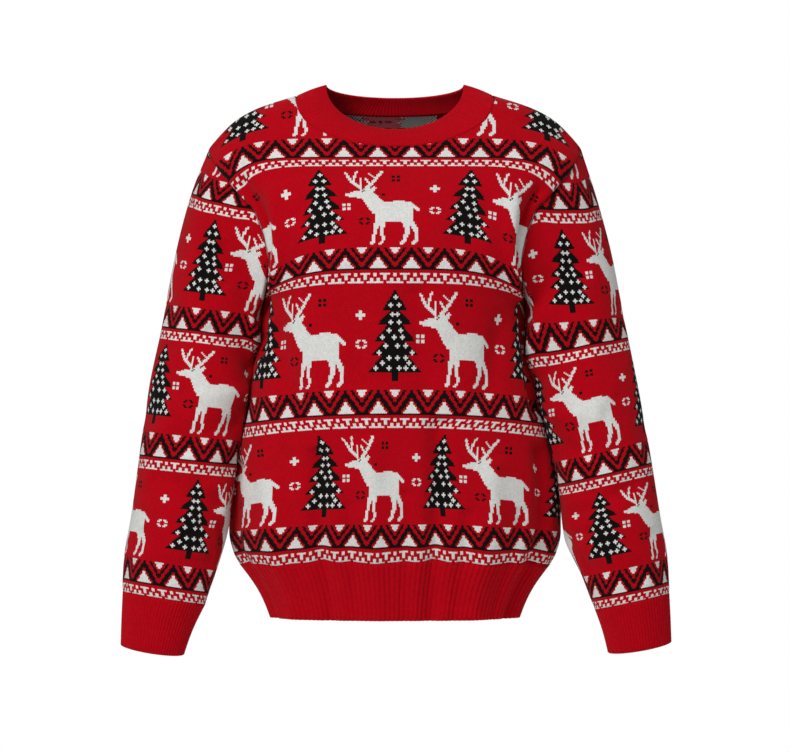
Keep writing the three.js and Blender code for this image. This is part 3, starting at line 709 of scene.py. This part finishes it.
def yarn_colour(tree, places, inside):
    """The colour of a stitch by its yarn, or of the yarns behind it on the wrong side."""
    yarns = node(tree, "ShaderNodeAttribute", attribute_name="yarn")
    parts = node(tree, "ShaderNodeSeparateXYZ", {"Vector": yarns.outputs["Vector"]})
    here, above = parts.outputs[0], parts.outputs[1]
    past = math_node(tree, "GREATER_THAN", places["climbed"], 1)
    yarn = math_node(tree, "MULTIPLY_ADD", past, math_node(tree, "SUBTRACT", above, here), here)
    colours = [RED_YARN, BLACK_YARN, WHITE_YARN]
    if inside:
        # The wrong side shows the two other yarns by turns, stitch by stitch.
        diagonal = math_node(tree, "ADD", places["column"], places["row"])
        odd = math_node(tree, "GREATER_THAN", math_node(tree, "FLOORED_MODULO", diagonal, 2), 0.5)
        colours = [colour_mix(tree, odd, *pair) for pair in BEHIND]
    not_red = math_node(tree, "GREATER_THAN", yarn, 0.5)
    is_white = math_node(tree, "GREATER_THAN", yarn, 1.5)
    dark = colour_mix(tree, not_red, colours[RED], colours[BLACK])
    return colour_mix(tree, is_white, dark, colours[WHITE])


def knit_material(name, inside=False, rib=False):
    """Knit in yarn of three colours. inside is its wrong side, and rib is plain red ribbing."""
    material = bpy.data.materials.new(name)
    material.use_nodes = True
    tree = material.node_tree
    tree.nodes.clear()
    places = stitch_places(tree)
    height = yarn_height(tree, places)
    tone = stitch_tone(tree, places)
    # Painted shade: the wrong side is darkened all over.
    painted_shade = WRONG_SIDE_SHADE if inside else FURROW_SHADE
    # Painted shade and light: each stitch is darker in the furrow between its legs and lighter on the
    # legs.
    tone = math_node(tree, "MULTIPLY", tone, math_node(tree, "MULTIPLY_ADD", height, LEG_LIGHT, painted_shade))
    object_place = node(tree, "ShaderNodeTexCoord").outputs["Object"]
    dye = node(tree, "ShaderNodeTexNoise", {"Vector": object_place}, Scale=DYE_SCALE, Detail=3.0)
    dye_tone = math_node(tree, "MULTIPLY_ADD", dye.outputs["Fac"], 0.14, 0.95)
    tone = math_node(tree, "MULTIPLY", tone, dye_tone)
    toned = node(tree, "ShaderNodeVectorMath", {"Scale": tone}, operation="SCALE")
    if rib:
        toned.inputs[0].default_value = RED_YARN[:3]
    else:
        tree.links.new(yarn_colour(tree, places, inside), toned.inputs[0])
    fuzz = node(tree, "ShaderNodeTexNoise", {"Vector": object_place}, Scale=FUZZ_SCALE, Detail=2.0)
    relief = math_node(tree, "MULTIPLY_ADD", fuzz.outputs["Fac"], 0.25, height)
    bump = node(tree, "ShaderNodeBump", {"Height": relief}, Strength=0.55, Distance=RELIEF)
    shader = node(
        tree,
        "ShaderNodeBsdfPrincipled",
        {"Base Color": toned.outputs[0], "Normal": bump.outputs[0]},
        Roughness=0.92,
        IOR=1.45,
    )
    shader.inputs["Specular IOR Level"].default_value = 0.08
    shader.inputs["Sheen Weight"].default_value = 0.02
    shader.inputs["Sheen Roughness"].default_value = 0.5
    node(tree, "ShaderNodeOutputMaterial", {"Surface": shader.outputs[0]})
    return material


KNIT_MATERIAL = knit_material("jacquard knit, right side")
REVERSE_MATERIAL = knit_material("jacquard knit, wrong side", inside=True)
RIB_MATERIAL = knit_material("red rib knit", rib=True)


def build_mesh(name, material, points, faces, face_yarns, stitches, bake):
    """A mesh from points in millimetres and faces with their corner places on two maps. Points
    that fall together are joined, and faces that close up are left out."""
    keys = np.round(points * STEPS_PER_MM).astype(np.int64)
    _, first, joined = np.unique(keys, axis=0, return_index=True, return_inverse=True)
    joined = joined.reshape(-1)
    corners = joined[faces]
    closed = [corners[:, k] == corners[:, (k + 1) % 4] for k in range(4)]
    shut = sum(c.astype(int) for c in closed)
    keep = (shut <= 1) & (corners[:, 0] != corners[:, 2]) & (corners[:, 1] != corners[:, 3])
    polygons, sources = [], []
    for index in np.nonzero(keep)[0]:
        spots = [k for k in range(4) if not closed[k][index]]
        polygons.append([int(corners[index, k]) for k in spots])
        sources.append([int(faces[index, k]) for k in spots])
    mesh = bpy.data.meshes.new(name)
    mesh.from_pydata((points[first] * MM).tolist(), [], polygons)
    flat = np.array([i for face in sources for i in face])
    for map_name, values in (("stitches", stitches), ("OFBake", bake)):
        layer = mesh.uv_layers.new(name=map_name)
        layer.data.foreach_set("uv", values[flat].astype(np.float32).ravel())
    if face_yarns is not None:
        attribute = mesh.attributes.new("yarn", "FLOAT_VECTOR", "FACE")
        values = np.zeros((int(keep.sum()), 3), np.float32)
        values[:, :2] = face_yarns[keep]
        attribute.data.foreach_set("vector", values.ravel())
    mesh.polygons.foreach_set("use_smooth", [True] * len(mesh.polygons))
    # Faces that lie twice on the same points, where stitches run out at a seam, are dropped.
    mesh.validate(clean_customdata=False)
    mesh.materials.append(material)
    made = bpy.data.objects.new(name, mesh)
    bpy.context.scene.collection.objects.link(made)
    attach(made, "root")
    return made


def grid_faces(rows, columns, start=0, flipped=False):
    """Faces of a grid of points, row by row."""
    i, j = np.mgrid[0 : rows - 1, 0 : columns - 1]
    low, high = i * columns + j, (i + 1) * columns + j
    corners = [low, low + 1, high + 1, high]
    if flipped:
        corners.reverse()
    return np.stack([c.ravel() for c in corners], axis=-1) + start


def normals_by_steps(place, across, row, step_across, step_row):
    """Normals of a surface from points a small step apart."""
    along = place(across + step_across, row) - place(across - step_across, row)
    up = place(across, row + step_row) - place(across, row - step_row)
    return unit(np.cross(along, up))


def thinned(count):
    """Every second of some places in a row, and the last one."""
    return np.unique(np.append(np.arange(0, count, 2), count - 1))


def bake_grid(columns, heights):
    """Places of a grid on the map for baking."""
    u, v = np.meshgrid(np.linspace(RIM, 1 - RIM, columns), heights)
    return np.stack([u.ravel(), v.ravel()], axis=-1)


def skins(name, points, normals, stitch, knit, yarns):
    """The right side of a piece of knit with its cut edges, and its wrong side as a second piece.
    points is a grid, and yarns holds the yarn of each of its faces and of the face above it."""
    rows, columns = points.shape[:2]
    outer = points.reshape(-1, 3)
    inner = outer - CLOTH * normals.reshape(-1, 3)
    places = np.stack([stitch.ravel(), knit.ravel()], axis=-1)
    bake = bake_grid(columns, np.linspace(0.05, 1 - RIM, rows))
    index = np.arange(len(outer)).reshape(rows, columns)
    edges = (
        (index[0][::-1], yarns[0][::-1]),
        (index[:, 0], yarns[:, 0]),
        (index[-1], yarns[-1]),
        (index[:, -1][::-1], yarns[:, -1][::-1]),
    )
    parts = [(outer, grid_faces(rows, columns), yarns.reshape(-1, 2), places, bake)]
    count = len(outer)
    for number, (edge, edge_yarns) in enumerate(edges):
        strip = bake_grid(len(edge), (RIM, RIM + EDGE_STRIP))
        strip[:, 0] = (strip[:, 0] + number) / len(edges)
        edge_points = np.concatenate([outer[edge], inner[edge]])
        faces = grid_faces(2, len(edge), count)
        parts.append((edge_points, faces, edge_yarns.reshape(-1, 2), places[np.tile(edge, 2)], strip))
        count += len(edge_points)
    right_side = build_mesh(name + "_knit", KNIT_MATERIAL, *(np.concatenate(part) for part in zip(*parts)))
    some_rows, some_columns = thinned(rows), thinned(columns)
    some = index[np.ix_(some_rows, some_columns)].ravel()
    faces = grid_faces(len(some_rows), len(some_columns), flipped=True)
    some_yarns = yarns[np.ix_(some_rows[:-1], some_columns[:-1])].reshape(-1, 2)
    parts = inner[some], faces, some_yarns, places[some], bake[some]
    return right_side, build_mesh(name + "_reverse", REVERSE_MATERIAL, *parts)


def cell_yarns(stitch_cells, knit_rows, shifts):
    """The yarn of each cell of a grid and of the cell above it."""
    row, stitch = np.meshgrid(knit_rows, stitch_cells, indexing="ij")
    here = yarn_at(stitch, row, shifts)
    above = yarn_at(stitch, row + 1, shifts)
    return np.stack([here, above], axis=-1).astype(np.float32)


def panel_place(read, facing, folds):
    """The surface of a panel, with its folds, by share and row, and its normals."""

    def plain(share, row):
        shape = np.broadcast(share, row).shape
        flat_share, flat_row = (np.broadcast_to(v, shape).ravel() for v in (share, row))
        points = panel_point(read, np.clip(flat_share, -1, 1), np.minimum(flat_row, NECK_ROW))
        return points.reshape(*shape, 3)

    def normal(share, row):
        return normals_by_steps(plain, share, row, -facing * STEP, PANEL_STEP_ROWS)

    def folded(share, row):
        depth = seam_fade(share) * fold_depth(folds, share, row, SHARE_MM)
        return plain(share, row) + normal(share, row) * depth[..., None]

    return folded, normal


SEAM_ROW = SEAM / 2 / ROW_MM
SEAM_SHARE = SEAM / 2 / SHARE_MM

read_front, read_back = reader(FRONT), reader(BACK)
read_cap = reader(CAP)


def stitch_lines(place, facing):
    """The share of each stitch line of a panel at each knit row."""
    line = np.arange(PANEL_STITCHES + 1) / (PANEL_STITCHES / 2) - 1
    dense = np.linspace(-1, 1, 241)
    rows = np.clip(table_row(np.arange(int(knit_row(NECK_ROW)) + 2)), SEAM_ROW, NECK_ROW - 0.01)
    widths = reader(STITCH_WIDTHS)(rows)["front" if facing < 0 else "back"]
    points = place(np.broadcast_to(-facing * dense, (len(rows), len(dense))), rows[:, None])
    steps = np.linalg.norm(np.diff(points, axis=1), axis=2)
    lengths = np.concatenate([np.zeros((len(rows), 1)), np.cumsum(steps, axis=1)], axis=1)
    lengths -= lengths[:, [len(dense) // 2]]
    part = np.abs(line)
    out = []
    for row, width, length in zip(rows, widths, lengths):
        half = np.where(line < 0, -length[0], length[-1])
        middle = width * (PANEL_STITCHES / 2) / half
        fitted = part + (middle - 1) * np.sin(math.pi * part) / math.pi
        cut = smooth((row - CUT_START) / CUT_ROWS)
        reach = np.where(part < 1, np.minimum(1, mix(fitted, middle * part, cut)), 1)
        out.append(np.interp(np.sign(line) * half * reach, length, dense))
    return -facing * np.array(out)


def panel_grid(place, facing, neck_row):
    """Shares and rows of the grid of a panel, one cell to a stitch, cut along its seams."""
    share = np.clip(stitch_lines(place, facing), -1 + SEAM_SHARE, 1 - SEAM_SHARE)
    row = np.repeat(table_row(np.arange(len(share)))[:, None], share.shape[1], axis=1)
    row = np.maximum(row, SEAM_ROW)
    room = top_row(neck_row, share) - SEAM_ROW - row
    for j in range(share.shape[1]):
        over = np.argmax(room[:, j] < 0)
        if room[over, j] < 0:
            part = room[over - 1, j] / (room[over - 1, j] - room[over, j])
            row[over:, j] = mix(row[over - 1, j], row[over, j], part)
            share[over:, j] = mix(share[over - 1, j], share[over, j], part)
    stitch = np.arange(PANEL_STITCHES + 1) - PANEL_STITCHES // 2
    return share, row, np.broadcast_to(stitch, row.shape)


def make_panel(name, read, facing, neck_row, folds, shifts):
    """Both sides of a panel, and its edges at the ribbing of the body and at the neckband."""
    place, normal = panel_place(read, facing, folds)
    share, row, stitch = panel_grid(place, facing, neck_row)
    points, normals = place(share, row), normal(share, row)
    flat_sides = unit(normals * np.array([1, 0, 1]))
    for j in (0, -1):
        side = np.sign(share[0, j])
        cut = row[:, j, None] > ARMPIT_ROW
        normals[:, j] = np.where(cut, armhole_normal(side, points[:, j]), flat_sides[:, j])
    normals[0] = unit(normals[0] * np.array([1, 1, 0]))
    at_top = row >= top_row(neck_row, share) - SEAM_ROW - 0.02
    shoulder = at_top & (np.abs(share) >= NECK_SHARE)
    normals[shoulder] = flat_sides[shoulder]
    knit = knit_row(row)
    cells = np.arange(PANEL_STITCHES) - PANEL_STITCHES // 2
    yarns = cell_yarns(cells, np.arange(len(row) - 1), shifts)
    right_side, wrong_side = skins(name, points, normals, stitch, knit, yarns)
    edge = {"points": points[0], "normals": normals[0]}
    part = np.linspace(-NECK_SHARE, NECK_SHARE, 121)
    part = part if facing < 0 else -part
    top = top_row(neck_row, part)
    neck = {"points": place(part, top), "normals": normal(part, top - 0.5)}
    return right_side, wrong_side, edge, neck


def armhole_path(read, side):
    """The seam of an armhole, from the underarm up to the shoulder tip, with its length shares."""
    row = np.linspace(ARMPIT_ROW, TIP_ROW, 120)
    points = end_point(read, side, row)
    steps = np.linalg.norm(np.diff(points, axis=0), axis=1)
    along = np.concatenate([[0], np.cumsum(steps)])
    return points, along / along[-1]


def sleeve_place(read, side):
    """The surface of a sleeve by its turn round the arm and its row, and the rows of its cap."""
    dense = np.linspace(0, 1, 400)
    cap = read_cap(dense)
    paths = [armhole_path(read_panel, side) for read_panel in (read_front, read_back)]

    def seam_point(turn):
        half = np.minimum(turn, 1 - turn)
        along = np.interp(half, cap["turn"], dense)
        out = []
        for points, lengths in paths:
            out.append(np.stack([np.interp(along, lengths, points[:, k]) for k in range(3)], axis=-1))
        return np.where((turn <= 0.5)[..., None], out[0], out[1])

    def cap_row(turn):
        return np.interp(np.minimum(turn, 1 - turn), cap["turn"], cap["row"])

    def ring(turn, row):
        at = read(row)
        across, deep = np.cos(2 * math.pi * turn), np.sin(2 * math.pi * turn)
        x = mix(at["outX"], at["inX"], (1 + across) / 2)
        z = mix(at["outZ"], at["inZ"], (1 + across) / 2)
        depth = np.where(deep > 0, at["before"], at["behind"])
        return np.stack([x, at["midY"] - deep * depth, z], axis=-1)

    def plain(turn, row):
        turn = turn % 1
        top = cap_row(turn)
        row = np.clip(row, 0, top)
        miss = seam_point(turn) - ring(turn, top)
        return ring(turn, row) + miss * smooth(1 - (top - row) / CAP_BLEND)[..., None]

    def normal(turn, row):
        return normals_by_steps(plain, turn, row, side * STEP, SLEEVE_STEP_ROWS)

    def folded(turn, row):
        rows_down = cap_row(turn % 1) - row
        depth = smooth(rows_down / 6) * fold_depth(SLEEVE_FOLDS, turn, row, TURN_MM)
        return plain(turn, row) + normal(turn, row) * depth[..., None]

    return folded, normal, cap_row


def make_sleeve(name, table, side, shifts):
    """Both sides of a sleeve, its edge at the cuff, and the reader of its table."""
    read = reader(table)
    place, normal, cap_row = sleeve_place(read, side)

    def stitches_round(row):
        """How many stitches go round the arm, as round an ellipse."""
        at = read(row)
        a = np.hypot(at["inX"] - at["outX"], at["inZ"] - at["outZ"]) / 2
        b = (at["before"] + at["behind"]) / 2
        return math.pi * (3 * (a + b) - np.sqrt((3 * a + b) * (a + 3 * b))) / SLEEVE_STITCH_MM

    columns = np.arange(SLEEVE_STITCHES + 1) - SLEEVE_STITCHES // 2
    knit = np.arange(int(knit_row(259)) + 2)
    row = np.broadcast_to(np.maximum(table_row(knit), SEAM_ROW)[:, None], (len(knit), len(columns)))
    edge = SEAM / 2 / TURN_MM
    turn = np.full(row.shape, 0.5)
    for _ in range(6):
        turn = np.clip(0.5 + side * columns / stitches_round(row), edge, 1 - edge)
        row = np.minimum(row, cap_row(turn) - SEAM_ROW)
    points, normals = place(turn, row), normal(turn, row)
    at_cap = row >= cap_row(turn) - SEAM_ROW - 1e-6
    normals = np.where(at_cap[..., None], armhole_normal(side, points), normals)
    stitch = side * (turn - 0.5) * stitches_round(row)
    yarns = cell_yarns(columns[:-1], np.arange(len(knit) - 1), shifts)
    pieces = skins(name, points, normals, stitch, knit_row(row), yarns)
    around = np.linspace(0, 1, 241)[:-1]
    around = around if side > 0 else (1 - around) % 1
    low = np.zeros_like(around)
    cuff_edge = {"points": place(around, low), "normals": normal(around, low + 0.5)}
    return *pieces, cuff_edge, read


def evenly(edge, count, closed):
    """Points, normals and length shares at even steps along an edge."""
    points, normals = edge["points"], edge["normals"]
    if closed:
        points, normals = np.vstack([points, points[:1]]), np.vstack([normals, normals[:1]])
    lengths = np.concatenate([[0], np.cumsum(np.linalg.norm(np.diff(points, axis=0), axis=1))])
    goal = np.linspace(0, 1, count + 1)[: count if closed else count + 1]
    spots = goal * lengths[-1]

    def along(values):
        return np.stack([np.interp(spots, lengths, values[:, k]) for k in range(3)], axis=-1)

    return along(points), unit(along(normals)), goal


def rib_skins(edge, place, ribs, levels, ridge, closed, down):
    """The outer and inner side of ribbing and the lip between them, as grids from the bottom up."""
    start, start_normals, share = evenly(edge, ribs * RIB_STEPS, closed)
    grid = np.stack([place(start, start_normals, share, k) for k in np.linspace(RIB_START, 1, levels + 1)])
    if down:
        grid = grid[::-1]
    half = RIB_STEPS // 2
    reach = np.pad(grid, ((0, 0), (half, half), (0, 0)), mode="wrap" if closed else "edge")
    along = reach[:, RIB_STEPS:] - reach[:, :-RIB_STEPS]
    normals = unit(np.cross(along, np.gradient(grid, axis=0)))
    seam, free, next_to_free = (-1, 0, 1) if down else (0, -1, -2)
    normals[seam] = start_normals
    phase = math.pi * (np.arange(grid.shape[1]) / RIB_STEPS)
    out_by = ridge * (np.sqrt(np.abs(np.sin(phase))) - RIB_MIDDLE)
    in_by = ridge * (np.sqrt(np.abs(np.cos(phase))) - RIB_MIDDLE)
    outer = grid + normals * out_by[None, :, None]
    inner = grid - normals * (CLOTH + in_by)[None, :, None]
    step = unit(grid[free] - grid[next_to_free])
    lip = np.stack([mix(outer[free], inner[free], part) + step * far for part, far in LIP])
    return outer, inner, lip


def ribbed(name, edge, place, ribs, levels, ridge, closed, down):
    """Ribbing from a seam to a free edge, with rounded ribs on both sides."""
    outer, inner, lip = rib_skins(edge, place, ribs, levels, ridge, closed, down)
    sides = [inner[::-1], lip[::-1], outer] if down else [outer, lip, inner[::-1]]
    loop = np.concatenate([*sides, sides[0][:1]])
    if closed:
        loop = np.concatenate([loop, loop[:, :1]], axis=1)
    total, wide = loop.shape[:2]
    length = np.linalg.norm(np.diff(loop[:, wide // 2], axis=0), axis=1)
    height = np.concatenate([[0], np.cumsum(length)]) / STITCH_MM
    faces = [grid_faces(total, wide)]
    if not closed:
        index = np.arange(total * wide).reshape(total, wide)
        for ends, flipped in ((index[:, 0], False), (index[:, -1], True)):
            k = np.arange((total - 1) // 2)
            side = [ends[k + 1], ends[k], ends[total - 1 - k], ends[total - 2 - k]]
            faces.append(np.stack(side[::-1] if flipped else side, axis=-1))
    u, v = np.meshgrid(np.arange(wide) * 2 / RIB_STEPS, height)
    stitches = np.stack([u.ravel(), v.ravel()], axis=-1)
    bake = bake_grid(wide, RIM + (1 - 2 * RIM) * height / height[-1])
    return build_mesh(name, RIB_MATERIAL, loop.reshape(-1, 3), np.concatenate(faces), None, stitches, bake)


def hem_place(facing, folds):
    """The ribbing of the body, which narrows to its lower edge."""
    deepest = HEM_END["front"] if facing < 0 else HEM_END["back"]

    def place(point, normal, along, level):
        share = facing * (1 - 2 * along)
        side = np.where(share < 0, -1, 1)
        one = np.ones_like(share)
        half = HEM_END["halfWidth"]
        across, deep = quarter(half * one, abs(deepest) * one, HEM_ROUND * one, np.abs(share))
        narrowed = level + HEM_BULGE * math.sin(math.pi * level)
        x = mix(point[:, 0], side * half * across, narrowed)
        y = mix(point[:, 1], deepest * deep, narrowed)
        low = mix(HEM_END["midZ"], HEM_END["sideZ"], across**3)
        z = mix(point[:, 2], low, level)
        row = np.full_like(share, -HEM_ROWS * level)
        depth = seam_fade(share) * level * fold_depth(folds, share, row, SHARE_MM)
        return np.stack([x, y, z], axis=-1) + normal * depth[:, None]

    return place


def cuff_place(read, end):
    """The ribbing of a sleeve, which narrows to its lower edge."""
    start = {name: float(value) for name, value in read(0).items()}
    half_x, half_z = (start["inX"] - start["outX"]) / 2, (start["inZ"] - start["outZ"]) / 2

    def place(point, normal, along, level):
        x = point[:, 0] - (start["inX"] + start["outX"]) / 2
        z = point[:, 2] - (start["inZ"] + start["outZ"]) / 2
        across = (x * half_x + z * half_z) / (half_x**2 + half_z**2)
        forward = start["midY"] - point[:, 1]
        deep = forward / np.where(forward > 0, start["before"], start["behind"])
        angle = np.arctan2(deep, across)
        part = (1 + np.cos(angle)) / 2
        goal_x = mix(end["outX"], end["inX"], part)
        goal_z = mix(end["outZ"], end["inZ"], part) - CUFF_SAG * np.sin(angle)
        goal_y = end["midY"] - np.sin(angle) * end["deep"]
        narrowed = level + CUFF_BULGE * math.sin(math.pi * level)
        goals = ((goal_x, narrowed), (goal_y, narrowed), (goal_z, level))
        return np.stack([mix(point[:, k], goal, part) for k, (goal, part) in enumerate(goals)], axis=-1)

    return place


def neck_seam(front, back):
    """The seam between the panels and the neckband, and how much of it the front takes."""
    lengths = [np.linalg.norm(np.diff(part["points"], axis=0), axis=1).sum() for part in (front, back)]
    points = np.concatenate([front["points"], back["points"][1:-1]])
    normals = np.concatenate([front["normals"], back["normals"][1:-1]])
    return {"points": points, "normals": normals}, lengths[0] / sum(lengths)


def neck_place(front_part):
    """The neckband, which leans in from the neck seam to its free edge."""

    def place(point, normal, along, level):
        before = along <= front_part
        part = np.where(before, along / front_part, (along - front_part) / (1 - front_part))
        share = np.where(before, 2 * part - 1, 1 - 2 * part)
        far = np.where(before, NECK_END["front"], NECK_END["back"])
        drop = np.where(before, NECK_END["frontDrop"], NECK_END["backDrop"])
        one = np.ones_like(share)
        half = NECK_END["halfWidth"]
        across, deep = quarter(half * one, np.hypot(far, drop), NECK_ROUND * one, np.abs(share))
        x, z = np.sign(share) * half * across, NECK_END["top"] - drop * deep
        goal = np.stack([x, far * deep, z], axis=-1)
        return mix(point, goal, level) + normal * NECK_BULGE * math.sin(math.pi * level)

    return place


# The camera looks level at the front, from far enough that the sides hardly draw together.
CAMERA_AWAY = 10
PIXEL_MM = 1.17
PICTURE_WIDTH = 790
MIDDLE_BELOW_ORIGIN = 290.5
camera_data = bpy.data.cameras.new("camera")
camera = bpy.data.objects.new("camera", camera_data)
bpy.context.scene.collection.objects.link(camera)
bpy.context.scene.camera = camera
camera.location = (0, -CAMERA_AWAY, -MIDDLE_BELOW_ORIGIN * PIXEL_MM * MM)
camera.rotation_euler = (math.pi / 2, 0, 0)
camera_data.sensor_width = 36
camera_data.lens = camera_data.sensor_width * CAMERA_AWAY / (PICTURE_WIDTH * PIXEL_MM * MM)

front, front_inside, front_edge, front_neck = make_panel(
    "front", read_front, -1, FRONT_NECK_ROW, FRONT_FOLDS, FRONT_SHIFTS
)
back, back_inside, back_edge, back_neck = make_panel(
    "back", read_back, 1, BACK_NECK_ROW, BACK_FOLDS, BACK_SHIFTS
)
sleeve_left, sleeve_left_inside, left_edge, read_left = make_sleeve(
    "sleeve_left", SLEEVE_LEFT, 1, LEFT_SLEEVE_SHIFTS
)
sleeve_right, sleeve_right_inside, right_edge, read_right = make_sleeve(
    "sleeve_right", SLEEVE_RIGHT, -1, RIGHT_SLEEVE_SHIFTS
)
neck_edge, front_part = neck_seam(front_neck, back_neck)
cuff_left_place = cuff_place(read_left, CUFF_LEFT_END)
cuff_right_place = cuff_place(read_right, CUFF_RIGHT_END)
RIBBING = (
    ("name", "edge", "place", "ribs", "levels", "ridge", "closed", "down"),
    ("hem_front_rib", front_edge, hem_place(-1, FRONT_FOLDS), 74, 12, 1.6, False, True),
    ("hem_back_rib", back_edge, hem_place(1, BACK_FOLDS), 74, 12, 1.6, False, True),
    ("cuff_left_rib", left_edge, cuff_left_place, 66, 12, 1.2, True, True),
    ("cuff_right_rib", right_edge, cuff_right_place, 66, 12, 1.2, True, True),
    ("neckband_rib", neck_edge, neck_place(front_part), 150, 10, 0.8, True, False),
)
hem_front, hem_back, cuff_left, cuff_right, neckband = (ribbed(**line) for line in lines_of(RIBBING))

PIECES = (
    ("piece", "inside", "node", "slot", "flat", "area"),
    (front, front_inside, "front", "jacquard_knit", (0.55, 0.6), 0.27),
    (back, back_inside, "back", "jacquard_knit", (0.55, 0.62), 0.28),
    (sleeve_left, sleeve_left_inside, "sleeve_left", "jacquard_knit", (0.36, 0.55), 0.16),
    (sleeve_right, sleeve_right_inside, "sleeve_right", "jacquard_knit", (0.36, 0.55), 0.16),
    (hem_front, None, "hem_front", "rib_knit", (0.47, 0.068), None),
    (hem_back, None, "hem_back", "rib_knit", (0.45, 0.068), None),
    (cuff_left, None, "cuff_left", "rib_knit", (0.28, 0.062), None),
    (cuff_right, None, "cuff_right", "rib_knit", (0.28, 0.062), None),
    (neckband, None, "neckband", "rib_knit", (0.6, 0.034), None),
)
for line in lines_of(PIECES):
    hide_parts(line["node"])
    if line["inside"]:
        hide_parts(line["node"])


def plain_material(name, colour):
    """Matt painted board."""
    material = bpy.data.materials.new(name)
    material.use_nodes = True
    shader = material.node_tree.nodes["Principled BSDF"]
    shader.inputs["Base Color"].default_value = linear(colour)
    shader.inputs["Roughness"].default_value = 0.9
    return material


def disc(name, radius, height, material):
    """A flat round floor."""
    count = 96
    turns = np.arange(count) * 2 * math.pi / count
    ring = [(radius * math.cos(t), radius * math.sin(t), height) for t in turns]
    mesh = bpy.data.meshes.new(name)
    mesh.from_pydata(ring, [], [list(range(count))])
    mesh.materials.append(material)
    made = bpy.data.objects.new(name, mesh)
    bpy.context.scene.collection.objects.link(made)
    return made


WHITE_BOARD = plain_material("matt white floor", "F4F4F2")
floor = disc("floor", radius=1.2, height=-1.0, material=WHITE_BOARD)

# Where the lights face
LIT_MIDDLE = (0, 0, -0.34)


def soft_light(name, place, size, power):
    """A large soft light that faces the middle of the garment."""
    data = bpy.data.lights.new(name, "AREA")
    data.shape = "SQUARE"
    data.size = size
    data.energy = power
    made = bpy.data.objects.new(name, data)
    bpy.context.scene.collection.objects.link(made)
    made.location = place
    away = np.array(place) - LIT_MIDDLE
    made.rotation_euler = (
        math.atan2(math.hypot(away[0], away[1]), away[2]),
        0,
        math.atan2(away[0], -away[1]),
    )
    return made


soft_light("key light", (-1.6, -2.9, 1.2), size=1.1, power=83)
soft_light("fill light", (2.5, -1.5, 0.3), size=1.6, power=12)
soft_light("back light", (0.0, 2.6, 1.4), size=2.0, power=26)
soft_light("top light", (0.0, -1.0, 1.9), size=1.0, power=8)

# White all round, and dimmer where it lights the cloth than where the camera sees it
world = bpy.data.worlds.new("white studio")
bpy.context.scene.world = world
world.use_nodes = True
sky = world.node_tree
sky.nodes.clear()
seen = node(sky, "ShaderNodeLightPath").outputs["Is Camera Ray"]
dim = node(sky, "ShaderNodeBackground", Color=linear("FFFFFF"), Strength=0.3)
bright = node(sky, "ShaderNodeBackground", Color=linear("FFFFFF"), Strength=1.0)
both = node(sky, "ShaderNodeMixShader")
sky.links.new(seen, both.inputs[0])
sky.links.new(dim.outputs[0], both.inputs[1])
sky.links.new(bright.outputs[0], both.inputs[2])
node(sky, "ShaderNodeOutputWorld", {"Surface": both.outputs[0]})
bpy.context.scene.view_settings.view_transform = "Standard"
